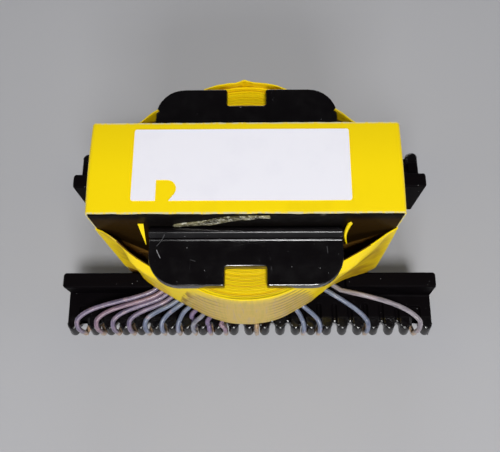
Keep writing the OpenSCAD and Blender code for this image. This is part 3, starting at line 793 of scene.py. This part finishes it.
class TRANSFORMER_OT_moulding(bpy.types.Operator):
    """Rounds the moulded bobbin's edges and gives it its satin black finish"""

    bl_idname = "transformer.moulding"
    bl_label = "Bobbin"

    # How wide the rails' outer corners and the teeth's tips are rounded, and the margin that keeps the
    # teeth at the comb's ends sharp
    CORNER_ROUND, TIP_ROUND, END_MARGIN = 0.4 * MM, 0.3 * MM, 0.15 * MM

    def execute(self, context):
        settings = context.scene.transformer_moulding
        piece = copy_node("bobbin")
        self.round_ends(piece)
        self.round_tips(piece)
        round_edges(piece, settings.edge)
        for vertex in piece.data.vertices:
            vertex.co.x = min(max(vertex.co.x, -BOBBIN_X), BOBBIN_X)
        settle(piece, "bobbin_moulding", moulded_plastic(settings), ["bobbin"])
        return {"FINISHED"}

    def round_ends(self, piece):
        """Rounds the upright outer corners of both rails more than the other edges."""
        self.round_chosen(piece, self.CORNER_ROUND, lambda a, b: (
            min(abs(a.x), abs(b.x)) > BOBBIN_X - NEAR and (a - b).xy.length < NEAR
            and abs(a.y) < BAR_OUT + NEAR))

    def round_tips(self, piece):
        """Rounds the upper edges of the comb's teeth at their tips, but not those at the comb's ends."""
        top = SHELF_LOW_Z + SHELF_T
        self.round_chosen(piece, self.TIP_ROUND, lambda a, b: (
            max(abs(a.z - top), abs(b.z - top)) < NEAR and min(abs(a.y), abs(b.y)) > TIP_Y
            and max(abs(a.x), abs(b.x)) < BOBBIN_X - self.END_MARGIN))

    def round_chosen(self, piece, width, wanted):
        """Rounds the edges that a test of their two ends picks."""
        with editing(piece, "DESELECT"):
            bpy.ops.mesh.select_mode(type="VERT")
        for edge in piece.data.edges:
            edge.select = wanted(*(piece.data.vertices[v].co for v in edge.vertices))
        bpy.ops.object.mode_set(mode="EDIT")
        bpy.ops.mesh.select_mode(type="EDGE")
        bpy.ops.mesh.bevel(offset=width, segments=4, affect="EDGES")
        bpy.ops.mesh.select_mode(type="VERT")
        bpy.ops.object.mode_set(mode="OBJECT")


class TRANSFORMER_OT_core(bpy.types.Operator):
    """Grinds the ferrite halves' edges and adds the run of varnish on the front face"""

    bl_idname = "transformer.core"
    bl_label = "Ferrite core"

    GROUND_EDGE = 0.14 * MM
    # Varnish: least depth and how far lumps add to it
    COAT, LUMPS = 0.08 * MM, 0.3 * MM

    def execute(self, context):
        ferrite = sintered_ferrite(context.scene.transformer_moulding)
        for node in ("core_upper", "core_lower"):
            piece = copy_node(node)
            round_edges(piece, self.GROUND_EDGE)
            settle(piece, node + "_ground", ferrite, [node])
        self.varnish()
        return {"FINISHED"}

    def varnish(self):
        """Lumpy varnish on the outline of the plain run."""
        piece = copy_node("varnish_run")
        with editing(piece):
            bpy.ops.mesh.quads_convert_to_tris()
            bpy.ops.mesh.subdivide(number_cuts=4)
        back = max(v.co.y for v in piece.data.vertices)
        for vertex in piece.data.vertices:
            x, y, z = vertex.co
            if back - y > 0.05 * MM:
                swell = 0.5 + 0.5 * rough(x, y, z, 0.9 * MM, 3.0)
                vertex.co.y = back - self.COAT - swell * self.LUMPS
            vertex.co.z += 0.12 * MM * rough(x, y, z, 0.7 * MM, 7.0)
            vertex.co.x += 0.15 * MM * rough(x, y, z, 0.8 * MM, 5.0)
        put(piece.modifiers.new("Smooth", "SUBSURF"), levels=1, render_levels=1)
        apply_all(piece)
        bpy.ops.object.shade_smooth()
        settle(piece, "varnish_lumps", dried_varnish(), ["varnish_run"])


class TRANSFORMER_OT_core_tape(bpy.types.Operator):
    """Wraps the film tape over the core and finishes the blank label on it"""

    bl_idname = "transformer.core_tape"
    bl_label = "Core tape and label"

    CORNER_R = 0.55 * MM
    ROWS = 30

    def execute(self, context):
        settings = context.scene.transformer_tape
        half_w, half_h, depth = CORE_HIGH.x, (CORE_HIGH.z - CORE_LOW.z) / 2, CORE_HIGH.y
        middle = (CORE_HIGH.z + CORE_LOW.z) / 2
        outline = spaced(self.round_box(half_w, half_h, self.CORNER_R), 0.7 * MM)
        rows = [-depth + 2 * depth * i / self.ROWS for i in range(self.ROWS + 1)]
        piece, places = wall(outline, rows)
        for vertex, (column, row) in zip(piece.data.vertices, places):
            x, z = outline[column]
            y = rows[row]
            arch = 1 - (y / depth) ** 2
            fray = rough(x, 0, z, 1.4 * MM, 2.0 if y < 0 else 9.0)
            ragged = 0.07 * MM * smoothstep(depth - 1.2 * MM, depth, abs(y)) * fray
            wave = 0.035 * MM * rough(x, y, z, 6 * MM, 4.0) * smoothstep(half_w, half_w - 4 * MM, abs(x))
            belly = 0.4 + 0.6 * arch * smoothstep(half_h, half_h - 2 * MM, abs(z))
            side = smoothstep(half_w - 1 * MM, half_w, abs(x)) * (0.3 if x < 0 else 0.16) * MM
            vertex.co = (x + math.copysign(side * belly * arch, x), y + ragged, middle + z + wave)
        face_outward(piece, lambda c: Vector((0, c.y, middle)))
        thicken(piece, settings.thickness, edge=RIM_EDGE)
        settle(piece, "core_tape_wrap", core_film(settings), ["core_tape"])
        cover(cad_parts["label"], label_film())
        return {"FINISHED"}

    def round_box(self, half_w, half_h, corner):
        """Outline of a box with round corners, in the order that the tape runs over the core."""
        points = []
        for turn, (sx, sz) in enumerate(((1, 1), (-1, 1), (-1, -1), (1, -1))):
            for i in range(CORNER_STEPS + 1):
                angle = math.pi / 2 * (turn + i / CORNER_STEPS)
                points.append((sx * (half_w - corner) + corner * math.cos(angle),
                               sz * (half_h - corner) + corner * math.sin(angle)))
        return points


class TRANSFORMER_OT_belt(bpy.types.Operator):
    """Wraps the belt from leg to leg round the coil, with its creases, ragged rim and rear pinch"""

    bl_idname = "transformer.belt"
    bl_label = "Belt tape"

    ROWS = 40
    # Along the front, from the left leg to the right one: X, height of the rim, height of the fold,
    # how far the fold, the lower edge and the rim stand out, in millimetres
    FOLDS = (
        (-20.0, 34.4, 33.0, -0.28, -0.35, -0.28), (-19.0, 34.6, 32.2, -0.5, -0.5, -0.35),
        (-18.0, 34.6, 31.5, -0.85, -0.65, -0.3), (-17.2, 34.1, 31.0, -0.7, -0.35, -0.2),
        (-16.5, 33.2, 30.6, -0.1, 0.05, -0.1), (-15.8, 32.2, 29.9, 0.6, 0.2, 0.0),
        (-14.6, 31.4, 29.3, 0.9, 0.3, 0.08), (-13.2, 30.9, 29.0, 1.0, 0.35, 0.05),
        (-11.5, 31.2, 29.2, 0.8, 0.4, 0.0), (-9.6, 32.2, 30.5, 0.35, 0.4, 0.0),
        (-7.0, 33.0, 31.0, 0.05, 0.35, 0.0), (-4.0, 33.4, 31.0, 0.0, 0.15, 0.0),
        (0.0, 33.5, 31.0, 0.0, 0.0, 0.0), (5.0, 33.5, 31.0, 0.0, 0.0, 0.0),
        (8.0, 33.2, 31.0, 0.0, 0.0, 0.0), (9.6, 33.2, 31.2, 0.25, -0.05, 0.0),
        (11.5, 33.4, 31.2, 0.75, -0.4, 0.0), (13.0, 34.1, 31.6, 1.0, -0.65, 0.0),
        (14.0, 34.2, 31.8, 0.9, -0.65, 0.0), (15.0, 34.3, 32.1, 0.63, -0.6, 0.0),
        (16.3, 34.4, 32.5, 0.3, -0.4, 0.0), (17.4, 34.5, 33.0, 0.0, -0.15, -0.1),
        (18.6, 34.5, 33.4, -0.35, 0.1, -0.25), (20.0, 34.5, 33.6, -0.28, 0.2, -0.28),
    )
    # Along the rear: X and how far the rim stands out, in millimetres
    REAR_RIM = (
        (-9.0, 0.0), (-6.4, 0.2), (-4.5, 0.12), (-3.0, 0.0), (-1.6, -0.1), (-0.9, 0.0), (-0.35, 0.2),
        (0.2, 0.02), (1.2, -0.1), (3.0, -0.06), (4.2, 0.0), (5.2, -0.1), (9.0, 0.0),
    )
    # The rear rim rises beside the flange: distance from the middle where that starts, is full, starts
    # to fall and ends, and how much it is
    EAR = (11.9 * MM, 12.1 * MM, 12.9 * MM, 15.2 * MM)
    EAR_RISE = 1.15 * MM

    def execute(self, context):
        settings = context.scene.transformer_tape
        outline = belt_path(settings.thickness + 0.02 * MM, 0.55 * MM)
        outward = normals_along(outline)
        low = BELT_LOW.z
        rows = [low + (BELT_HIGH.z - low) * i / self.ROWS for i in range(self.ROWS + 1)]
        piece, places = wall(outline, rows)
        for vertex, (column, row) in zip(piece.data.vertices, places):
            x, y = outline[column]
            share = row / self.ROWS
            z = low + (self.rim(x, y) - low) * share
            out = self.swell(x, y, z, share, settings.flare)
            nx, ny = outward[column]
            vertex.co = (x + nx * out, y + ny * out, z)
        face_outward(piece, lambda c: Vector((0, 0, c.z)))
        thicken(piece, settings.thickness, edge=RIM_EDGE)
        settle(piece, "belt_wrap", wrapped_tape(settings), ["belt_tape"])
        piece.data.materials.append(tape_inside())
        for face in piece.data.polygons:
            if face.normal.dot(Vector((face.center.x, face.center.y, 0))) < -0.2 * face.center.xy.length:
                face.material_index = 1
        return {"FINISHED"}

    def rim(self, x, y):
        """Height of the belt's upper edge."""
        across = abs(x)
        uneven = 0.1 * MM * rough(x, y, 0, 3.5 * MM, 1.0)
        if y < -LEG_Y:
            return between(self.FOLDS, x)[0] + uneven
        top = BELT_HIGH.z - 0.1 * MM + uneven
        if y <= LEG_Y:
            corner = between(self.FOLDS, math.copysign(LEG_X, x))[0]
            return top + (corner - top) * smoothstep(0, -LEG_Y, y)
        top += 0.15 * MM * smoothstep(8 * MM, 6 * MM, across) + 0.1 * MM * bell(x, -0.35 * MM, 0.7 * MM)
        start, full, fall, end = self.EAR
        if across > start:
            return top + self.EAR_RISE * smoothstep(end, fall, across) * smoothstep(start, full, across)
        return min(top, FLANGE_Z - 0.08 * MM) if inside_flange(x, y, 0.12 * MM) else top

    def swell(self, x, y, z, share, flare):
        """How far the belt stands out from its plain path."""
        across = abs(x)
        inner = smoothstep(LEG_X, LEG_X - 2 * MM, across)
        out = 0.04 * MM * rough(x, y, z, 2.5 * MM, 8.0) * inner
        if y < 0:
            rim, fold, fold_out, low_out, rim_out = between(self.FOLDS, x)
            if z > fold:
                stand = rim_out + (fold_out - rim_out) * (rim - z) / (rim - fold)
            else:
                stand = low_out + (fold_out - low_out) * ((z - BELT_LOW.z) / (fold - BELT_LOW.z)) ** 1.4
            return out + stand * smoothstep(-2 * MM, -LEG_Y, y)
        near = smoothstep(9 * MM, 7 * MM, across)
        upper = smoothstep(0.75, 1.0, share)
        out += flare * near * smoothstep(0.8, 1.0, share) + between(self.REAR_RIM, x)[0] * upper
        out += 0.06 * MM * near * smoothstep(0.3, 1.0, share) * rough(x, 0, z, 1.6 * MM, 3.0)
        out -= 0.12 * MM * bell(across, 13.4 * MM, 1.2 * MM) * upper
        sunk = smoothstep(7.5 * MM, 10 * MM, across) * inner
        return out - sunk * 0.2 * MM * bell(z, BELT_HIGH.z - 8.5 * MM, 0.9 * MM)


class TRANSFORMER_OT_coil(bpy.types.Operator):
    """Shows the wound tape's upper edges, turn by turn, and the two flaps beside the flange"""

    bl_idname = "transformer.coil"
    bl_label = "Coil"

    # Turns of the margin tape: spacing and thickness of one
    TURN_PITCH, TURN_T = 0.2 * MM, 0.15 * MM

    def execute(self, context):
        settings = context.scene.transformer_tape
        layered = layered_tape(settings)
        self.turns(layered)
        film = flap_tape(settings)
        self.flap("tape_flap_left", -1, 0.7, 0.0, film)
        self.flap("tape_flap_right", 1, 0.5, 0.45, film)
        for node in ("coil_tape", "interlayer_tape_inner", "interlayer_tape_outer"):
            cover(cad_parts[node], layered)
        cover(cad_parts["margin_tape_lower"], woven_margin())
        winding = enamelled_winding()
        for node in ("winding_inner", "winding_middle", "winding_outer"):
            cover(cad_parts[node], winding)
        return {"FINISHED"}

    def turns(self, material):
        """Separate turns of tape, each ending at its own height."""
        outer = MARGIN_HIGH.x - 0.08 * MM
        rows = [MARGIN_LOW.z + 0.05 * MM, MARGIN_HIGH.z - 0.35 * MM, MARGIN_HIGH.z]
        rings = []
        for i in range(int((outer - INNER_TURN_R) / self.TURN_PITCH)):
            outline = coil_path(outer - i * self.TURN_PITCH, 1.1 * MM)
            ring, places = wall(outline, rows)
            for vertex, (column, row) in zip(ring.data.vertices, places):
                if row == 2:
                    x, y = outline[column]
                    drop = 0.09 + 0.07 * rough(x, y, i * 5 * MM, 4 * MM, 1.5) + 0.06 * math.sin(i * 2.4)
                    vertex.co.z -= drop * MM
            face_outward(ring, lambda c: Vector((0, 0, c.z)))
            thicken(ring, self.TURN_T)
            rings.append(ring)
        pick(rings[0])
        for ring in rings:
            ring.select_set(True)
        bpy.ops.object.join()
        settle(rings[0], "coil_top_turns", material, ["margin_tape_upper"])

    def flap(self, name, side, width, curl, material):
        """A sliver of tape between the flange's side and the core.

        It is a triangle that leans on the core at its wide end and runs down to a tip beside the flange.
        """
        deselect()
        bpy.ops.mesh.primitive_grid_add(x_subdivisions=10, y_subdivisions=12, size=1)
        piece = bpy.context.object
        for vertex in piece.data.vertices:
            across, along = vertex.co.x + 0.5, vertex.co.y + 0.5
            taper = width * (1 - along) + 0.05
            bow = 0.35 * math.sin(math.pi * along) if curl else 0
            rise = 3.6 - 2.7 * along + curl * math.sin(math.pi * across) * (1 - along * 0.7)
            vertex.co = (side * (FLANGE_X + (0.45 + across * taper - bow) * MM),
                         -LEG_Y - (0.1 + along * 1.9) * MM, FLANGE_Z + rise * MM)
        thicken(piece, 0.1 * MM, offset=0)
        settle(piece, name, material)


class TRANSFORMER_OT_leads(bpy.types.Operator):
    """Draws the sleeved leads from the coil over the comb to their pins, and tins the pins"""

    bl_idname = "transformer.leads"
    bl_label = "Leads and pins"

    # Slot, angle at the coil, exit under the belt, rise there, height of the bend, bow, inset in the
    # slot, drop below the shelf, sleeve
    FRONT = {
        "lead_f00": (0, 57, (-15.2, -10.3), 0, 4.1, 0, 0, 0, "lilac"),
        "lead_f01": (1, 52.5, (-14.55, -10.95), 0, 3.75, 0, 0, 0, "rose"),
        "lead_f02": (2, 48, (-13.8, -11.25), -0.5, 3.4, 0, 0, 0, "lilac"),
        "lead_f03": (3, 43.5, (-13.05, -11.8), -0.6, 3.2, 0, 0, 0, "lilac"),
        "lead_f04": (4, 39.2, (-12, -12.35), 0, 3.1, 0, 0, 0, "blue"),
        "lead_f05": (5, 35.2, (-10.9, -12.6), 0, 2.5, 0, 0, 0, "blue"),
        "lead_f06": (6, 31, (-9.8, -13.3), 0, 2, 0, 0, 0, "blue"),
        "lead_f07a": (7, 26.5, (-8.8, -13.9), 0, 1, 0, 0.83, 0, "violet"),
        "lead_f07b": (7, 22, (-7.5, -14.5), 0, 2.4, 0, 0, 0.82, "grey"),
        "lead_f08": (8, 17.5, (-6.4, -15), 0, 1.9, 0, 0, 0, "violet"),
        "lead_f09": (9, 12, (-4.3, -15.6), 0, 1.7, 0, 0, 0, "rose"),
        "lead_f11": (11, -4, (1.27, -15.7), 0, 1.6, 0, 0, 0, "amber"),
        "lead_f14": (14, -27, (7.4, -13.2), 0, 1.9, 0, 0, 0, "blue"),
        "lead_f15": (15, -32, (8.3, -12.5), 0, 1.9, 0, 0, 0, "blue"),
        "lead_f18": (18, -46, (12.9, -10.6), 0, 2.4, 0, 0, 0, "blue"),
        "lead_f21": (21, -54, (14.6, -10.2), 0, 3.1, 3.5, 0, 0, "pale"),
    }
    REAR = {
        "lead_r06": (6, 31, (-9.8, -13.3), 0, 2, 0, 0, 0, "blue"),
        "lead_r07": (7, 25, (-8.3, -14.1), 0, 1.9, 0, 0, 0, "lilac"),
        "lead_r14": (14, -25, (8.3, -14.1), 0, 1.9, 0, 0, 0, "grey"),
        "lead_r15": (15, -31, (9.8, -13.3), 0, 2, 0, 0, 0, "blue"),
    }
    # Main colour, streak colour
    SLEEVES = {
        "lilac": ((0.20, 0.155, 0.235), (0.095, 0.08, 0.145)),
        "rose": ((0.25, 0.165, 0.215), (0.14, 0.09, 0.145)),
        "violet": ((0.18, 0.13, 0.235), (0.095, 0.065, 0.14)),
        "blue": ((0.175, 0.205, 0.285), (0.085, 0.10, 0.175)),
        "grey": ((0.23, 0.23, 0.27), (0.12, 0.13, 0.18)),
        "pale": ((0.31, 0.28, 0.31), (0.18, 0.16, 0.19)),
        "amber": ((0.36, 0.25, 0.13), (0.22, 0.13, 0.07)),
    }
    # Slots of a comb: number, spacing, and how much farther out the wide one at each end stands,
    # in millimetres as all that follow
    SLOTS = 22
    PITCH = 2.54
    END_SHIFT = 0.44
    # Y of a slot's root and of the teeth's ends
    SLOT_ROOT = 14.44
    COMB_REACH = 16.45
    # Y and spacing of the pins, and radius of a wire wrap on them
    PIN_Y = 12.7
    PIN_PITCH = 5.08
    SOLDER_R = 0.95
    # Where a lead leaves the winding: radius, and how far below the coil's tape
    START_R = 11.55
    FLANGE_GAP = 0.5

    def execute(self, context):
        settings = context.scene.transformer_leads
        sleeves = {
            name: lead_sleeve("sleeve " + name, colour, shade)
            for name, (colour, shade) in self.SLEEVES.items()
        }
        for turned, rows in ((1, self.FRONT), (-1, self.REAR)):
            for node, row in rows.items():
                path = [Vector((p.x * turned, p.y * turned, p.z)) * MM for p in self.route(row, settings)]
                self.sweep(node, path, settings.diameter / 2, sleeves[row[-1]])
        pins = tinned_metal(settings, "tinned pin", 0.24, 0.001)
        solder = tinned_metal(settings, "solder", 0.3, 0.02)
        for side in ("front", "rear"):
            cover(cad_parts["pins_" + side], pins)
            cover(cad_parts["solder_" + side], solder)
        return {"FINISHED"}

    def slot_x(self, k):
        """Middle of a slot, counted from the left."""
        shift = {0: -1, self.SLOTS - 1: 1}.get(k, 0) * self.END_SHIFT
        return (k - (self.SLOTS - 1) / 2) * self.PITCH + shift

    def route(self, row, settings):
        """Centre line of a lead in millimetres, from the winding to its pin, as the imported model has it."""
        k, angle, out_xy, rise, bend_h, bow, inset, drop, _ = row
        radius = settings.diameter / MM / 2
        shelf_low = SHELF_LOW_Z / MM
        start_z = COIL_LOW.z / MM - self.FLANGE_GAP
        turn = math.radians(angle)
        start = Vector((-self.START_R * math.sin(turn), -self.START_R * math.cos(turn), start_z))
        out = Vector((*out_xy, start_z + rise))
        x = self.slot_x(k)
        hang_y = -(self.COMB_REACH - radius - 0.08 - inset)
        root_y = -(self.SLOT_ROOT + radius + 0.12)
        reach = math.hypot(x - out.x, hang_y - out.y)
        side = math.copysign(1, x - out.x) if abs(x - out.x) > 0.3 else 0
        bend = Vector((x - side * min(0.3, reach * 0.1), hang_y + min(1.35, (out.y - hang_y) * 0.6),
                       shelf_low + SHELF_T / MM + bend_h))
        top = Vector((x, hang_y, bend.z - min(2.4, bend_h - 0.1)))
        low = Vector((x, hang_y, shelf_low - 0.1))
        run = out - start
        toward = Vector((bend.x - out.x, bend.y - out.y, 0)).normalized()
        leave = (Vector((run.x, run.y, 0)).normalized() * 0.5 + toward).normalized()
        bent = (toward + Vector((0, -0.75, -0.25))).normalized()
        span = (bend - out).length
        ease = min(0.7, (bend.y - hang_y) * 0.8)
        turn_z = shelf_low - radius - 0.22 - drop
        pin = Vector(((k // 2 - (self.SLOTS // 2 - 1) / 2) * self.PIN_PITCH, -self.PIN_Y, turn_z))
        to_pin = Vector((x - pin.x, root_y - pin.y, 0)).normalized()
        shoulder = Vector((start.x + run.x * 0.7, start.y + run.y * 0.7, start_z))
        over = self.curve(out, out + leave * span * 0.33 + Vector((0, 0, bow)),
                          bend - bent * span * 0.25, bend, 20)
        down = self.curve(bend, bend + bent * ease, top + Vector((0, 0, 1.1)), top, 10)
        under = self.curve(low, low - Vector((0, 0, 0.6 + drop)), Vector((x, root_y - 0.1, turn_z)),
                           pin + to_pin * (self.SOLDER_R + 0.1), 14)
        return [start, start.lerp(shoulder, 0.5), shoulder] + over + down[1:] + under

    def curve(self, a, b, c, d, count):
        """Points on a cubic curve with two inner control points."""
        steps = [(i / count, 1 - i / count) for i in range(count + 1)]
        return [a * s ** 3 + b * 3 * t * s * s + c * 3 * t * t * s + d * t ** 3 for t, s in steps]

    def sweep(self, node, path, radius, material):
        """Sweeps a round sleeve along a path, with a UV map that runs along it."""
        deselect()
        bpy.ops.curve.primitive_nurbs_path_add()
        curve = bpy.context.object.data
        curve.splines.clear()
        spline = curve.splines.new("POLY")
        spline.points.add(len(path) - 1)
        for point, place in zip(spline.points, path):
            point.co = (*place, 1)
        spline.use_smooth = True
        put(curve, dimensions="3D", bevel_depth=radius, bevel_resolution=5, use_fill_caps=True,
            twist_mode="MINIMUM")
        bpy.ops.object.convert(target="MESH")
        piece = bpy.context.object
        self.unroll(piece, path, radius)
        bpy.ops.object.shade_smooth_by_angle(angle=math.radians(50))
        settle(piece, node.replace("lead", "sleeve"), material, [node])

    def unroll(self, piece, path, radius):
        """UV map of a sleeve: round it in one direction, along it in the other, in metres."""
        layer = piece.data.uv_layers.active or piece.data.uv_layers.new(name="sleeve")
        reach = lengths(path)
        for face in piece.data.polygons:
            for loop in face.loop_indices:
                place = piece.data.vertices[piece.data.loops[loop].vertex_index].co
                near = min(range(len(path)), key=lambda i: (path[i] - place).length_squared)
                ahead = path[min(near + 1, len(path) - 1)] - path[max(near - 1, 0)]
                spoke = place - path[near]
                level = Vector((0, 0, 1)).cross(ahead)
                level = level.normalized() if level.length > 1e-9 else Vector((1, 0, 0))
                angle = math.atan2(spoke.dot(ahead.cross(level).normalized()), spoke.dot(level))
                layer.data[loop].uv = (abs(angle) * radius, reach[near])


# Stage

class TRANSFORMER_OT_stage(bpy.types.Operator):
    """Sets up the camera, the pale floor and soft studio light"""

    bl_idname = "transformer.stage"
    bl_label = "Stage"

    # Soft lamps: name, place, size in metres, power
    LAMPS = (
        ("key", (0.03, -0.15, 0.36), 0.06, 0.79),
        ("front box", (0.02, -0.33, 0.27), 0.14, 0.7),
        ("left fill", (-0.34, -0.1, 0.18), 0.2, 0.16),
        ("right fill", (0.34, -0.06, 0.18), 0.2, 0.16),
        ("rear fill", (0.0, 0.38, 0.1), 0.2, 0.42),
    )
    # The place that the lamps look at
    TARGET = (0, 0, 0.02)

    def execute(self, context):
        settings = context.scene.transformer_stage
        deselect()
        bpy.ops.object.camera_add(location=settings.eye, rotation=settings.tilt)
        camera = context.object
        camera.name = "photo camera"
        put(camera.data, lens=settings.lens, sensor_width=36, clip_start=5 * MM, clip_end=10)
        camera.data.dof.use_dof = False
        context.scene.camera = camera
        self.floor(settings)
        for lamp in self.LAMPS:
            self.lamp(*lamp)
        self.world(context.scene)
        context.scene.view_settings.view_transform = "Standard"
        return {"FINISHED"}

    def floor(self, settings):
        """A plain floor under the pins."""
        deselect()
        bpy.ops.mesh.primitive_plane_add(size=3, location=(0, 0, FLOOR_Z))
        piece = bpy.context.object
        piece.name = "floor"
        cover(piece, Finish("floor", settings.floor, 0.75).material)
        bpy.ops.object.transform_apply(location=True, rotation=True, scale=True)

    def lamp(self, name, place, size, power):
        """A square soft lamp that looks at the part."""
        aim = (Vector(self.TARGET) - Vector(place)).to_track_quat("-Z", "Y").to_euler()
        deselect()
        bpy.ops.object.light_add(type="AREA", location=place, rotation=aim)
        lamp = bpy.context.object
        lamp.name = name
        put(lamp.data, shape="SQUARE", size=size, energy=power)

    def world(self, scene):
        """Soft cool light from all sides, fainter from above."""
        scene.world = bpy.data.worlds.new("studio")
        scene.world.use_nodes = True
        tree = scene.world.node_tree
        background = tree.nodes["Background"]
        background.inputs["Color"].default_value = (0.93, 0.96, 1, 1)
        direction = tree.nodes.new("ShaderNodeTexCoord")
        parts = tree.nodes.new("ShaderNodeSeparateXYZ")
        fall = tree.nodes.new("ShaderNodeMapRange")
        for socket, number in (("From Min", 0.1), ("From Max", 0.75), ("To Min", 0.24), ("To Max", 0.03)):
            fall.inputs[socket].default_value = number
        tree.links.new(direction.outputs["Generated"], parts.inputs["Vector"])
        tree.links.new(parts.outputs["Z"], fall.inputs["Value"])
        tree.links.new(fall.outputs["Result"], background.inputs["Strength"])


# Add-on

OPERATORS = (TRANSFORMER_OT_stage, TRANSFORMER_OT_moulding, TRANSFORMER_OT_core, TRANSFORMER_OT_core_tape,
             TRANSFORMER_OT_belt, TRANSFORMER_OT_coil, TRANSFORMER_OT_leads)
GROUPS = {
    "transformer_tape": TapeSettings,
    "transformer_moulding": MouldingSettings,
    "transformer_leads": LeadSettings,
    "transformer_stage": StageSettings,
}


class TRANSFORMER_PT_panel(bpy.types.Panel):
    """Lists the pieces of the transformer"""

    bl_idname = "TRANSFORMER_PT_panel"
    bl_label = "Switching Transformer"
    bl_space_type = "VIEW_3D"
    bl_region_type = "UI"
    bl_category = "Transformer"

    def draw(self, context):
        scene = context.scene
        for group in (scene.transformer_tape, scene.transformer_moulding, scene.transformer_leads,
                      scene.transformer_stage):
            box = self.layout.box()
            for name in group.__annotations__:
                box.prop(group, name)
        for piece in OPERATORS:
            self.layout.operator(piece.bl_idname)


CLASSES = (*GROUPS.values(), *OPERATORS, TRANSFORMER_PT_panel)


def register():
    for kind in CLASSES:
        bpy.utils.register_class(kind)
    for name, group in GROUPS.items():
        setattr(bpy.types.Scene, name, bpy.props.PointerProperty(type=group))


def unregister():
    for name in GROUPS:
        delattr(bpy.types.Scene, name)
    for kind in reversed(CLASSES):
        bpy.utils.unregister_class(kind)


def main():
    register()
    bpy.ops.transformer.stage()
    bpy.ops.transformer.moulding()
    bpy.ops.transformer.core()
    bpy.ops.transformer.core_tape()
    bpy.ops.transformer.belt()
    bpy.ops.transformer.coil()
    bpy.ops.transformer.leads()


if __name__ == "__main__":
    main()
